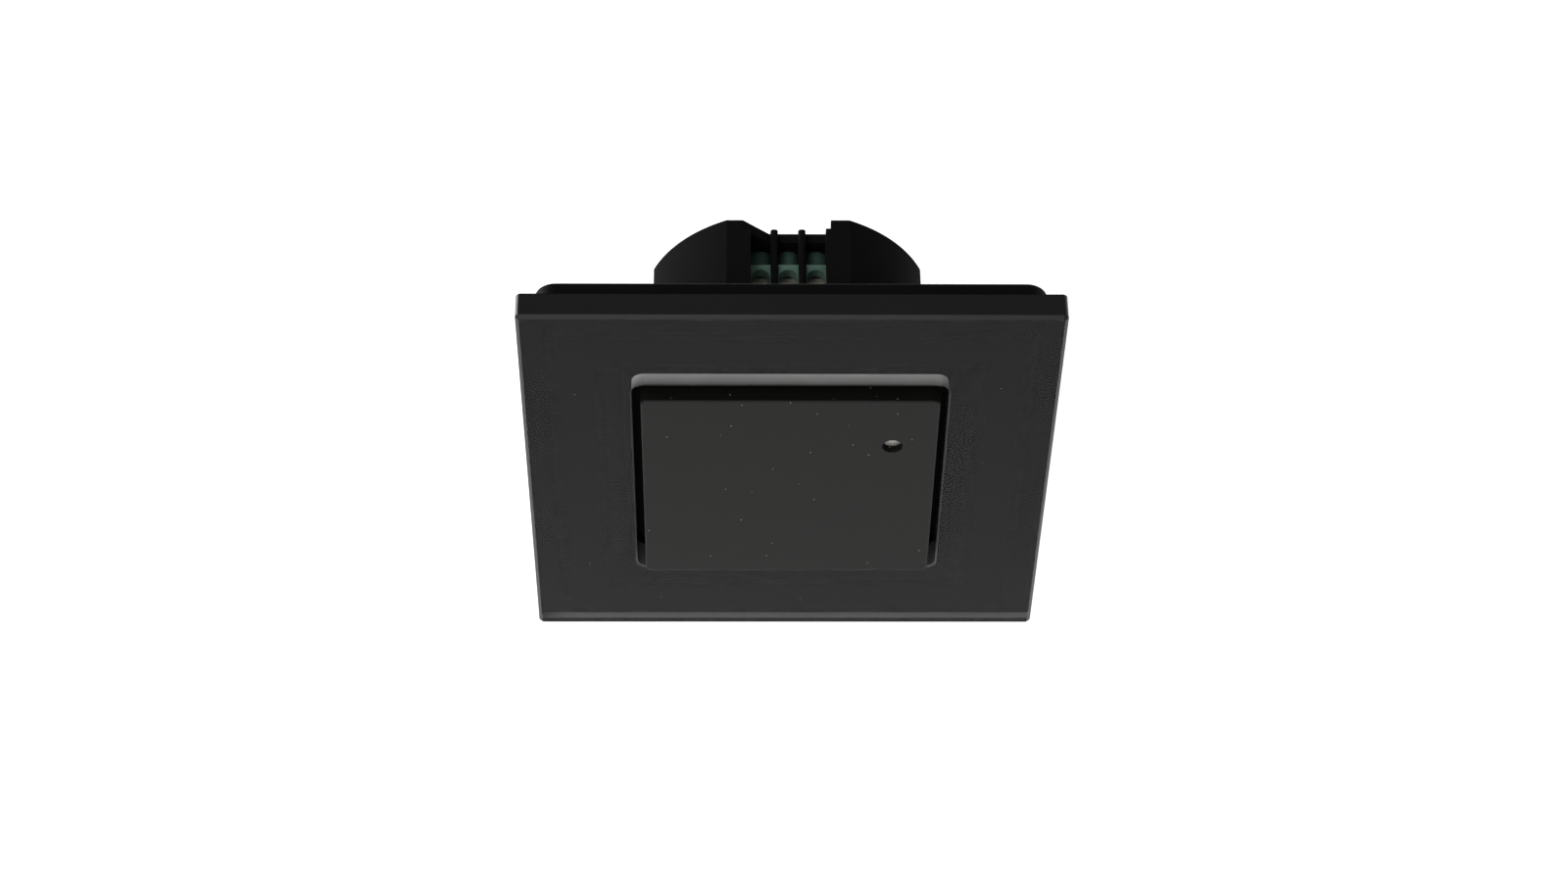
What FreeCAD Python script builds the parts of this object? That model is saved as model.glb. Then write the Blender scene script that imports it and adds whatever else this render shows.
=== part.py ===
# Microwave motion sensor for a round wall box, in the 80 mm square format of a wall switch.
# Millimetres. X to the right, Z up, Y into the wall. The wall's face is the plane Y = 0 and the
# panel's centre is on the Y axis, so the panel lies at negative Y and the drum at positive Y.
import FreeCAD, Part
import math
import os

import Sketcher

# Driving sizes. Each is one cell of the sheet, with its name as the cell's alias.
SIZES = {
    # Glass panel, its tape and its plastic carrier
    "panel_width": 80.0,
    "panel_corner": 0.7,
    "glass_thickness": 4.6,
    "glass_bevel": 0.55,
    "glass_arris": 0.25,
    "opening_gap": 1.35,
    "opening_corner": 1.75,
    "tape_thickness": 0.3,
    "tape_inset": 1.2,
    "carrier_inset": 2.4,
    "carrier_corner": 3.2,
    "carrier_depth": 3.6,
    "carrier_face": 1.3,
    "carrier_wall": 1.5,
    "carrier_edge": 0.5,
    "rim_clearance": 0.3,
    "rim_wall": 1.1,
    "rim_depth": 1.0,
    "stiffener_thickness": 1.0,
    "stiffener_depth": 0.8,
    "stiffener_pitch": 15.0,
    "prong_thickness": 1.2,
    "prong_width": 5.0,
    "prong_inset": 4.6,
    "prong_spread": 28.0,
    "prong_end_gap": 0.2,
    "prong_clearance": 0.5,
    # Cover in the panel's opening, and its light guide
    "cover_width": 44.5,
    "cover_corner": 1.0,
    "cover_proud": 1.65,
    "cover_face": 1.8,
    "cover_wall": 1.2,
    "cover_edge": 0.3,
    "cover_seat_gap": 0.3,
    "latch_width": 7.0,
    "latch_thickness": 0.9,
    "latch_reach": 1.1,
    "latch_spread": 22.0,
    "latch_clearance": 0.25,
    "lens_side_inset": 6.75,
    "lens_top_inset": 11.25,
    "lens_hole_radius": 1.55,
    "lens_clearance": 0.05,
    "lens_recess": 0.85,
    "lens_dome": 0.35,
    "lens_flange_radius": 2.4,
    "lens_flange_thickness": 0.6,
    # Steel mounting plate
    "plate_clearance": 0.7,
    "plate_corner": 2.5,
    "plate_thickness": 1.2,
    "wall_screw_spacing": 60.0,
    "slot_width": 3.8,
    "slot_length": 9.0,
    "bead_length": 15.0,
    "bead_side": 17.0,
    "bead_width": 1.6,
    "bead_depth": 0.3,
    "bead_edge_distance": 2.2,
    # Drum that goes into the wall box, and its flange in front of the plate
    "drum_inset": 0.5,
    "drum_side_cut": 1.7,
    "drum_top_cut": 2.1,
    "drum_depth": 26.4,
    "drum_wall": 1.4,
    "drum_floor": 1.8,
    "drum_edge": 0.15,
    "drum_clearance": 0.25,
    "flange_clearance": 0.7,
    "flange_corner": 3.0,
    "flange_thickness": 1.4,
    # Terminal bay in the top of the drum
    "pole_pitch": 4.3,
    "bay_margin": 1.5,
    "bay_wall": 0.8,
    "divider_thickness": 1.15,
    "divider_drop": 2.2,
    "divider_round": 0.45,
    "notch_drop": 3.5,
    "notch_slope_reach": 1.4,
    "notch_slope_width": 4.3,
    "notch_step": 0.1,
    "bay_clearance": 0.15,
    "driver_hole_radius": 1.6,
    # Tray that closes the drum and carries the sensor board
    "tray_floor": 1.2,
    "tray_gap": 0.55,
    "tray_wall": 1.1,
    "tray_depth": 3.7,
    "tray_notch": 5.4,
    "tray_corner": 0.8,
    "screw_head_radius": 1.75,
    "screw_head_clearance": 0.4,
    "screw_head_height": 1.1,
    "screw_radius": 0.95,
    "screw_hole_radius": 1.1,
    "thread_clearance": 0.05,
    "screw_end_gap": 0.2,
    "screw_slot_width": 0.45,
    "screw_slot_depth": 0.6,
    "screw_slot_share": 1.3,
    # Sensor board and what it carries
    "board_thickness": 1.0,
    "board_gap": 0.3,
    "board_post_height": 0.6,
    "board_post_radius": 1.4,
    "board_post_spacing": 24.0,
    "radar_width": 22.0,
    "radar_height": 18.0,
    "radar_side_gap": 0.6,
    "radar_low_gap": 1.5,
    "radar_thickness": 0.8,
    "radar_standoff": 1.0,
    "header_width": 11.0,
    "header_height": 2.2,
    "patch_width": 7.6,
    "patch_height": 9.0,
    "patch_gap": 3.0,
    "feed_width": 0.8,
    "feed_drop": 2.6,
    "copper_thickness": 0.1,
    "shield_width": 10.0,
    "shield_height": 9.0,
    "shield_depth": 2.0,
    "shield_clearance": 0.6,
    "processor_width": 6.0,
    "processor_thickness": 0.9,
    "processor_side_inset": 12.1,
    "processor_top_inset": 6.5,
    "chip_width": 1.6,
    "chip_height": 0.9,
    "chip_thickness": 0.5,
    "chip_pitch": 2.6,
    "chip_distance": 4.96,
    "sensor_radius": 1.4,
    "sensor_depth": 1.7,
    "sensor_dome": 0.7,
    "led_width": 1.6,
    "led_distance": 3.4,
    "led_thickness": 0.7,
    "trimmer_width": 4.6,
    "trimmer_depth": 1.7,
    "trimmer_pitch": 5.8,
    "trimmer_side_inset": 3.7,
    "trimmer_low_gap": 2.1,
    "rotor_radius": 1.7,
    "rotor_height": 0.6,
    "rotor_stub_radius": 1.1,
    "rotor_stub_depth": 0.9,
    "rotor_clearance": 0.05,
    "rotor_slot_width": 0.5,
    "rotor_slot_length": 2.55,
    "rotor_slot_depth": 0.35,
    # Power board in the drum and what it carries
    "power_board_distance": 12.8,
    "power_board_thickness": 1.6,
    "power_board_gap": 0.4,
    "boss_radius": 2.6,
    "boss_inset": 2.2,
    "boss_pilot_radius": 0.9,
    "boss_pilot_depth": 6.0,
    "board_screw_head_radius": 1.9,
    "board_screw_head_height": 1.2,
    "board_screw_radius": 0.85,
    "board_screw_length": 6.5,
    "relay_width": 20.0,
    "relay_height": 9.6,
    "relay_clearance": 0.6,
    "relay_drop": 0.7,
    "relay_edge": 0.5,
    "film_width": 13.0,
    "film_height": 5.0,
    "film_clearance": 1.8,
    "film_edge_distance": 5.5,
    "varistor_radius": 3.4,
    "varistor_thickness": 2.6,
    "varistor_side": 15.2,
    "varistor_lift": 1.0,
    "lead_radius": 0.35,
    "fuse_radius": 1.6,
    "fuse_length": 8.0,
    "fuse_side": 15.0,
    "core_width": 14.0,
    "core_clearance": 2.0,
    "core_height": 5.0,
    "core_leg": 2.2,
    "core_side": -6.5,
    "core_drop": 2.0,
    "winding_wall": 2.4,
    "winding_gap": 0.25,
    "winding_corner": 1.6,
    "bobbin_depth": 1.8,
    "bobbin_height": 11.0,
    "bulk_radius": 4.0,
    "bulk_clearance": 2.3,
    "bulk_side": 9.0,
    "bulk_lift": 6.5,
    "output_radius": 2.5,
    "output_length": 8.0,
    "output_side": 10.0,
    "output_drop": 9.0,
    "can_edge": 0.4,
    "can_groove_distance": 1.6,
    "bridge_width": 6.0,
    "bridge_height": 4.6,
    "bridge_thickness": 2.4,
    "bridge_side": 8.0,
    "bridge_drop": 1.6,
    "link_width": 13.2,
    "link_height": 2.5,
    "link_drop": 5.6,
    "link_socket_depth": 8.5,
    "link_strip_depth": 2.5,
    "link_window_gap": 0.5,
    "link_pitch": 2.54,
    "link_pin_width": 0.64,
    # Terminal block with rising clamps
    "block_clearance": 0.15,
    "block_floor_drop": 13.2,
    "block_top_drop": 5.4,
    "block_margin": 2.15,
    "shoulder_drop": 3.1,
    "pole_groove": 0.4,
    "tower_length": 3.9,
    "shoulder_round": 1.2,
    "tower_radius": 1.95,
    "tower_drop": 7.4,
    "entry_width": 2.9,
    "entry_start": 3.1,
    "entry_rise": 4.0,
    "entry_floor_drop": 11.0,
    "clamp_width": 3.0,
    "clamp_depth": 3.6,
    "clamp_bottom_drop": 9.6,
    "clamp_top_drop": 5.0,
    "clamp_side_wall": 0.4,
    "clamp_floor_wall": 0.5,
    "clamp_roof_wall": 0.9,
    "clamp_start": 0.2,
    "clamp_travel": 1.35,
    "pocket_gap": 0.1,
    "terminal_screw_radius": 1.0,
    "terminal_head_radius": 1.4,
    "terminal_head_height": 1.5,
    "terminal_head_gap": 0.1,
    "terminal_bore_clearance": 0.05,
    "collar_thickness": 1.2,
    "bar_width": 2.0,
    "bar_thickness": 0.5,
    "bar_gap": 0.15,
    "bar_top_drop": 5.5,
    "bar_bottom_drop": 10.6,
    "bar_pin_width": 0.8,
    "bar_pin_reach": 1.2,
}


class Size:
    """A length that follows from the sheet: its number, and the same as the text of an expression."""

    def __init__(self, text, number):
        self.text = text
        self.number = number

    def joined(self, sign, other, number):
        other_text = other.text if isinstance(other, Size) else repr(float(other))
        return Size(f"({self.text} {sign} {other_text})", number)

    def __add__(self, other):
        return self.joined("+", other, self.number + plain(other))

    def __sub__(self, other):
        return self.joined("-", other, self.number - plain(other))

    def __mul__(self, other):
        return self.joined("*", other, self.number * plain(other))

    def __truediv__(self, other):
        return self.joined("/", other, self.number / plain(other))

    def __neg__(self):
        return Size(f"(-1 * {self.text})", -self.number)


class Sheet:
    """The sheet's cells by name, such as sheet.panel_width."""

    def __getattr__(self, name):
        return Size(f"Sizes.{name}", SIZES[name])


def plain(value):
    """The number of a size, or the number itself."""
    return value.number if isinstance(value, Size) else float(value)


def bind(item, path, value):
    """Ties a property to a size of the sheet, or sets it to a plain number."""
    if isinstance(value, Size):
        item.setExpression(path, value.text)
    else:
        setattr(item, path, value)


doc = FreeCAD.newDocument("MotionSensor")
sheet_object = doc.addObject("Spreadsheet::Sheet", "Sizes")
for row, (alias, value) in enumerate(SIZES.items(), start=1):
    sheet_object.set(f"A{row}", alias)
    sheet_object.set(f"B{row}", str(value))
    sheet_object.setAlias(f"B{row}", alias)
doc.recompute()

size = Sheet()
zero = size.panel_width * 0
pieces = []

# Planes along the depth, from the wall outwards and into it
carrier_front = -size.carrier_depth
glass_back = carrier_front - size.tape_thickness
glass_front = glass_back - size.glass_thickness
cover_front = glass_front - size.cover_proud
cover_inside = cover_front + size.cover_face
plate_front = -size.plate_thickness
flange_front = plate_front - size.flange_thickness
tray_front = flange_front - size.tray_floor
tray_rim = tray_front - size.tray_depth
board_back = tray_front - size.board_post_height
board_front = board_back - size.board_thickness
radar_back = board_front - size.radar_standoff
radar_front = radar_back - size.radar_thickness
drum_inside = size.drum_depth - size.drum_floor
power_back = drum_inside - size.power_board_distance
power_front = power_back - size.power_board_thickness
bay_front = power_back + size.bay_clearance + size.bay_wall
block_back = drum_inside - size.block_clearance
shoulder_back = block_back - size.tower_length
entry_front = power_back + size.entry_start
clamp_front = entry_front + size.clamp_start
clamp_back = clamp_front + size.clamp_depth
bar_back = clamp_back - size.clamp_roof_wall - size.bar_gap
bar_front = bar_back - size.bar_thickness
pocket_back = clamp_back + size.clamp_travel + size.pocket_gap

# Widths that follow from what a piece fits into
carrier_half = size.panel_width / 2 - size.carrier_inset
plate_half = carrier_half - size.carrier_wall - size.plate_clearance
cover_half = size.cover_width / 2
opening_half = cover_half + size.opening_gap
rim_half = opening_half + size.rim_clearance
flange_half = rim_half - size.flange_clearance
tray_half = cover_half - size.cover_wall - size.tray_gap
board_half = tray_half - size.tray_wall - size.board_gap
screw_place = cover_half - size.cover_wall - size.screw_head_clearance - size.screw_head_radius

# The drum goes through the plate inside the flange, and has four flats
drum_radius = flange_half - size.drum_inset
drum_side = drum_radius - size.drum_side_cut
drum_top = drum_radius - size.drum_top_cut
cavity_radius = drum_radius - size.drum_wall
cavity_side = drum_side - size.drum_wall
cavity_top = drum_top - size.drum_wall
boss_place = (cavity_radius - size.boss_inset) * math.sqrt(0.5)

# Heights in the terminal bay, from the drum's top flat down
divider_top = drum_top - size.divider_drop
notch_floor = drum_top - size.notch_drop
shoulder_top = drum_top - size.shoulder_drop
block_top = drum_top - size.block_top_drop
block_floor = drum_top - size.block_floor_drop
tower_height = drum_top - size.tower_drop
clamp_top = drum_top - size.clamp_top_drop
clamp_bottom = drum_top - size.clamp_bottom_drop
bar_top = drum_top - size.bar_top_drop
bar_bottom = drum_top - size.bar_bottom_drop
link_height = drum_top - size.link_drop
bay_half = size.pole_pitch + size.bay_margin

# Places on the sensor board, from the cover's edge, the board's edge and the tray's corner walls
corner_wall = tray_half - size.tray_notch - size.tray_wall
lens_side = cover_half - size.lens_side_inset
lens_height = cover_half - size.lens_top_inset
radar_side = size.radar_side_gap + size.radar_width / 2 - corner_wall
radar_middle = size.radar_low_gap + size.radar_height / 2 - corner_wall
processor_side = size.processor_side_inset - board_half
processor_height = board_half - size.processor_top_inset
trimmer_side = board_half - size.trimmer_side_inset
trimmer_low = size.trimmer_low_gap + size.trimmer_width / 2 - corner_wall

POLES = (-1, 0, 1)
TRIMMERS = 3
LINK_PINS = 5
CHIP_COLUMNS = 4
NEAR = 1e-4


# Sketches

PLANES = {"XY": ("XY_Plane", 1), "XZ": ("XZ_Plane", -1), "YZ": ("YZ_Plane", 1)}


def origin_feature(body, role):
    """One of a body's own origin planes or axes."""
    return next(item for item in body.Origin.OriginFeatures if item.Role == role)


def new_sketch(body, name, plane, place):
    """An empty sketch on one of the body's planes, moved along that plane's axis to a place."""
    role, sign = PLANES[plane]
    sketch = body.newObject("Sketcher::SketchObject", name)
    sketch.AttachmentSupport = [(origin_feature(body, role), "")]
    sketch.MapMode = "FlatFace"
    sketch.setExpression(".AttachmentOffset.Base.z", (place * sign).text)
    return sketch


def pin_point(sketch, line, end, x, y):
    """Fixes one end of a line, or a circle's centre, by its distances from the origin."""
    for kind, value in (("DistanceX", x), ("DistanceY", y)):
        index = sketch.addConstraint(Sketcher.Constraint(kind, -1, 1, line, end, plain(value)))
        if isinstance(value, Size):
            sketch.setExpression(f"Constraints[{index}]", value.text)


def set_radius(sketch, curve, radius):
    """Gives a circle or an arc its radius."""
    index = sketch.addConstraint(Sketcher.Constraint("Radius", curve, plain(radius)))
    sketch.setExpression(f"Constraints[{index}]", radius.text)


def point(x, y):
    return FreeCAD.Vector(plain(x), plain(y), 0)


def polygon(sketch, corners):
    """A closed outline of straight lines through its corners."""
    count = len(corners)
    lines = []
    for index, corner in enumerate(corners):
        following = corners[(index + 1) % count]
        lines.append(sketch.addGeometry(Part.LineSegment(point(*corner), point(*following)), False))
    for index, line in enumerate(lines):
        sketch.addConstraint(Sketcher.Constraint("Coincident", line, 2, lines[(index + 1) % count], 1))
        pin_point(sketch, line, 1, *corners[index])


def rectangle(sketch, left, right, low, high):
    polygon(sketch, [(left, low), (right, low), (right, high), (left, high)])


def block_outline(sketch, x, y, width, height):
    """A rectangle by its centre."""
    rectangle(sketch, x - width / 2, x + width / 2, y - height / 2, y + height / 2)


def circle(sketch, x, y, radius):
    index = sketch.addGeometry(Part.Circle(point(x, y), FreeCAD.Vector(0, 0, 1), plain(radius)), False)
    pin_point(sketch, index, 3, x, y)
    set_radius(sketch, index, radius)


def arc(sketch, x, y, radius, start, end):
    """An arc by its centre, radius and angles in degrees."""
    base = Part.Circle(point(x, y), FreeCAD.Vector(0, 0, 1), plain(radius))
    return sketch.addGeometry(Part.ArcOfCircle(base, math.radians(start), math.radians(end)), False)


def rounded(sketch, x, y, width, height, radius):
    """A rectangle by its centre, with rounded corners."""
    left, right = x - width / 2, x + width / 2
    low, high = y - height / 2, y + height / 2
    sides = [
        ((left + radius, low), (right - radius, low), "Horizontal", low),
        ((right, low + radius), (right, high - radius), "Vertical", right),
        ((right - radius, high), (left + radius, high), "Horizontal", high),
        ((left, high - radius), (left, low + radius), "Vertical", left),
    ]
    centres = [
        (right - radius, low + radius, -90),
        (right - radius, high - radius, 0),
        (left + radius, high - radius, 90),
        (left + radius, low + radius, 180),
    ]
    lines = [sketch.addGeometry(Part.LineSegment(point(*a), point(*b)), False) for a, b, _, _ in sides]
    arcs = [arc(sketch, cx, cy, radius, angle, angle + 90) for cx, cy, angle in centres]
    for index, line in enumerate(lines):
        sketch.addConstraint(Sketcher.Constraint("Tangent", line, 2, arcs[index], 1))
        sketch.addConstraint(Sketcher.Constraint("Tangent", arcs[index], 2, lines[(index + 1) % 4], 1))
    for line, (_, _, direction, value) in zip(lines, sides):
        sketch.addConstraint(Sketcher.Constraint(direction, line))
        kind = "DistanceY" if direction == "Horizontal" else "DistanceX"
        added = sketch.addConstraint(Sketcher.Constraint(kind, -1, 1, line, 1, plain(value)))
        sketch.setExpression(f"Constraints[{added}]", value.text)
    for other in arcs[1:]:
        sketch.addConstraint(Sketcher.Constraint("Equal", arcs[0], other))
    set_radius(sketch, arcs[0], radius)


def square(sketch, width, radius):
    rounded(sketch, zero, zero, width, width, radius)


def slot(sketch, x, y, length, width, upright):
    """A slot by its centre: two straight sides and two round ends."""
    radius = width / 2
    reach = length / 2 - radius
    across = (radius, zero) if upright else (zero, radius)
    along = (zero, reach) if upright else (reach, zero)
    first = (x + along[0], y + along[1])
    second = (x - along[0], y - along[1])
    turn = 0 if upright else -90
    arcs = [
        arc(sketch, *first, radius, turn, turn + 180),
        arc(sketch, *second, radius, turn + 180, turn + 360),
    ]
    side = -1 if upright else 1
    starts = [
        (first[0] + across[0] * side, first[1] + across[1] * side),
        (second[0] - across[0] * side, second[1] - across[1] * side),
    ]
    ends = [
        (second[0] + across[0] * side, second[1] + across[1] * side),
        (first[0] - across[0] * side, first[1] - across[1] * side),
    ]
    lines = [sketch.addGeometry(Part.LineSegment(point(*a), point(*b)), False) for a, b in zip(starts, ends)]
    for index in (0, 1):
        sketch.addConstraint(Sketcher.Constraint("Tangent", arcs[index], 2, lines[index], 1))
        sketch.addConstraint(Sketcher.Constraint("Tangent", lines[index], 2, arcs[1 - index], 1))
    pin_point(sketch, arcs[0], 3, *first)
    pin_point(sketch, arcs[1], 3, *second)
    set_radius(sketch, arcs[0], radius)


def drum_outline(sketch, radius, side, top):
    """A circle about the origin, cut by two upright flats and two level ones."""
    wide = math.degrees(math.acos(plain(side) / plain(radius)))
    tall = math.degrees(math.asin(plain(top) / plain(radius)))
    arcs = [arc(sketch, zero, zero, radius, turn + a, turn + b) for turn, a, b in (
        (0, wide, tall),
        (180, -tall, -wide),
        (180, wide, tall),
        (360, -tall, -wide),
    )]
    ends = [(sketch.Geometry[item].StartPoint, sketch.Geometry[item].EndPoint) for item in arcs]
    flats = []
    for index in range(4):
        line = Part.LineSegment(ends[index][1], ends[(index + 1) % 4][0])
        flats.append(sketch.addGeometry(line, False))
    for index, flat in enumerate(flats):
        sketch.addConstraint(Sketcher.Constraint("Coincident", arcs[index], 2, flat, 1))
        sketch.addConstraint(Sketcher.Constraint("Coincident", flat, 2, arcs[(index + 1) % 4], 1))
    for item in arcs:
        sketch.addConstraint(Sketcher.Constraint("Coincident", item, 3, -1, 1))
    for item in arcs[1:]:
        sketch.addConstraint(Sketcher.Constraint("Equal", arcs[0], item))
    set_radius(sketch, arcs[0], radius)
    rules = [("Horizontal", "DistanceY", top), ("Vertical", "DistanceX", -side),
             ("Horizontal", "DistanceY", -top), ("Vertical", "DistanceX", side)]
    for flat, (direction, kind, value) in zip(flats, rules):
        sketch.addConstraint(Sketcher.Constraint(direction, flat))
        index = sketch.addConstraint(Sketcher.Constraint(kind, -1, 1, flat, 1, plain(value)))
        sketch.setExpression(f"Constraints[{index}]", value.text)


def arch(sketch, x, half, low, spring):
    """A doorway shape: straight sides from a level foot, closed by a half circle."""
    head = arc(sketch, x, spring, half, 0, 180)
    corners = [(x - half, spring), (x - half, low), (x + half, low), (x + half, spring)]
    lines = [
        sketch.addGeometry(Part.LineSegment(point(*corners[index]), point(*corners[index + 1])), False)
        for index in range(3)
    ]
    for index in (0, 1):
        sketch.addConstraint(Sketcher.Constraint("Coincident", lines[index], 2, lines[index + 1], 1))
    sketch.addConstraint(Sketcher.Constraint("Tangent", head, 2, lines[0], 1))
    sketch.addConstraint(Sketcher.Constraint("Tangent", lines[2], 2, head, 1))
    sketch.addConstraint(Sketcher.Constraint("Vertical", lines[0]))
    sketch.addConstraint(Sketcher.Constraint("Vertical", lines[2]))
    pin_point(sketch, lines[0], 2, *corners[1])
    pin_point(sketch, lines[1], 2, *corners[2])
    level = sketch.addConstraint(Sketcher.Constraint("DistanceY", -1, 1, head, 3, plain(spring)))
    sketch.setExpression(f"Constraints[{level}]", spring.text)


def domed(sketch, radius, shoulder, tip, corners):
    """Half of a round piece for turning: an arc from the tip to the side, then corners back to the axis."""
    rise = shoulder - tip
    reach = (radius * radius + rise * rise) / (rise * 2)
    foot = math.degrees(math.atan2(plain(rise) - plain(reach), plain(radius)))
    dome = arc(sketch, zero, tip + reach, reach, -90, foot)
    outline = [(radius, shoulder)] + corners + [(zero, tip)]
    lines = []
    for start, end in zip(outline, outline[1:]):
        lines.append(sketch.addGeometry(Part.LineSegment(point(*start), point(*end)), False))
        pin_point(sketch, lines[-1], 1, *start)
    for first, second in zip([dome] + lines, lines):
        sketch.addConstraint(Sketcher.Constraint("Coincident", first, 2, second, 1))
    sketch.addConstraint(Sketcher.Constraint("Coincident", lines[-1], 2, dome, 1))
    pin_point(sketch, lines[-1], 2, zero, tip)
    set_radius(sketch, dome, reach)


# Features

def new_body(name):
    body = doc.addObject("PartDesign::Body", name)
    body.Label = name
    pieces.append(body)
    return body


def pad(body, name, plane, draw, start, end):
    """Adds a sketch's outline as material between two places along the plane's axis."""
    sketch = new_sketch(body, name + "Sketch", plane, start)
    draw(sketch)
    feature = body.newObject("PartDesign::Pad", name)
    feature.Profile = sketch
    bind(feature, "Length", end - start)
    feature.Reversed = PLANES[plane][1] < 0
    doc.recompute()
    return feature


def cut(body, name, plane, draw, start, end):
    """Takes a sketch's outline away between two places along the plane's axis."""
    before = body.Shape.Volume
    sketch = new_sketch(body, name + "Sketch", plane, start)
    draw(sketch)
    feature = body.newObject("PartDesign::Pocket", name)
    feature.Profile = sketch
    bind(feature, "Length", end - start)
    feature.Reversed = PLANES[plane][1] > 0
    doc.recompute()
    if body.Shape.Volume >= before:
        raise RuntimeError(f"{body.Label}: {name} takes nothing away")
    return feature


def turned(body, name, plane, draw):
    """Adds a profile turned about the Y axis, which is the sketch's upright axis on the XY plane."""
    sketch = new_sketch(body, name + "Sketch", plane, zero)
    draw(sketch)
    feature = body.newObject("PartDesign::Revolution", name)
    feature.Profile = sketch
    feature.ReferenceAxis = (sketch, ["V_Axis"])
    feature.Angle = 360
    doc.recompute()
    return feature


def around(body, name, features, count):
    """Repeats features evenly round the Y axis."""
    pattern = body.newObject("PartDesign::PolarPattern", name)
    pattern.Originals = features
    pattern.Axis = (origin_feature(body, "Y_Axis"), [""])
    pattern.Angle = 360
    pattern.Occurrences = count
    body.Tip = pattern
    doc.recompute()
    return pattern


def edges_where(feature, test):
    """Names of a feature's edges whose middle point passes a test."""
    names = []
    for index, edge in enumerate(feature.Shape.Edges, start=1):
        middle = edge.valueAt((edge.FirstParameter + edge.LastParameter) / 2)
        if test(middle, edge.BoundBox):
            names.append(f"Edge{index}")
    return names


def flat_at(box, y):
    """Whether a bounding box lies in the plane at this depth."""
    return abs(box.YMin - plain(y)) < NEAR and abs(box.YMax - plain(y)) < NEAR


def beyond(middle, reach):
    """Whether an edge's middle point lies outside a square about the Y axis."""
    return max(abs(middle.x), abs(middle.z)) > plain(reach)


def dress(body, kind, name, feature, edges, amount):
    """A fillet or a chamfer along chosen edges of the last feature."""
    added = body.newObject(f"PartDesign::{kind}", name)
    added.Base = (feature, edges)
    bind(added, "Radius" if kind == "Fillet" else "Size", amount)
    doc.recompute()
    if not added.Shape.isValid():
        raise RuntimeError(f"{body.Label}: {name} gives no valid solid")
    return added


def box(name, x, y, z):
    """A block between two places on each axis."""
    item = doc.addObject("Part::Box", name)
    for axis, length, (low, high) in zip("xyz", ("Length", "Width", "Height"), (x, y, z)):
        bind(item, length, high - low)
        item.setExpression(f"Placement.Base.{axis}", low.text)
    return item


def about(middle, width):
    """The two places half a width either side of the middle."""
    return middle - width / 2, middle + width / 2


def rod(name, radius, x, z, front, back):
    """A cylinder along Y between two places."""
    item = doc.addObject("Part::Cylinder", name)
    bind(item, "Radius", radius)
    bind(item, "Height", back - front)
    item.Placement.Rotation = FreeCAD.Rotation(FreeCAD.Vector(1, 0, 0), -90)
    item.setExpression("Placement.Base.x", x.text)
    item.setExpression("Placement.Base.y", front.text)
    item.setExpression("Placement.Base.z", z.text)
    return item


def named(item, name):
    """Marks an object as a finished piece."""
    item.Label = name
    pieces.append(item)
    return item


def joined(name, items):
    """One solid from several that touch."""
    item = doc.addObject("Part::MultiFuse", name)
    item.Shapes = items
    item.Refine = True
    return item


def group(name, items):
    """Several separate solids kept as one piece."""
    item = doc.addObject("Part::Compound", name)
    item.Links = items
    return item


def less(name, base, tool):
    """A solid with another taken out of it."""
    item = doc.addObject("Part::Cut", name)
    item.Base = base
    item.Tool = tool
    return item


# Glass panel

def make_glass_panel():
    body = new_body("glass_panel")
    pad(body, "Pane", "XZ", lambda s: square(s, size.panel_width, size.panel_corner), glass_front, glass_back)
    hole = cut(body, "PaneOpening", "XZ", lambda s: square(s, opening_half * 2, size.opening_corner),
               glass_front, glass_back)
    midway = (opening_half + size.panel_width / 2) / 2
    front = edges_where(hole, lambda p, b: flat_at(b, glass_front) and beyond(p, midway))
    bevel = dress(body, "Chamfer", "FrontBevel", hole, front, size.glass_bevel)
    opening = edges_where(bevel, lambda p, b: flat_at(b, glass_front) and not beyond(p, midway))
    rear = edges_where(bevel, lambda p, b: flat_at(b, glass_back))
    dress(body, "Chamfer", "Arris", bevel, opening + rear, size.glass_arris)


def make_panel_adhesive():
    body = new_body("panel_adhesive")
    outer = (carrier_half - size.tape_inset) * 2
    inner = rim_half * 2 + size.tape_inset * 2
    pad(body, "Tape", "XZ", lambda s: square(s, outer, size.carrier_corner), glass_back, carrier_front)
    cut(body, "TapeOpening", "XZ", lambda s: square(s, inner, size.opening_corner), glass_back, carrier_front)


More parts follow.
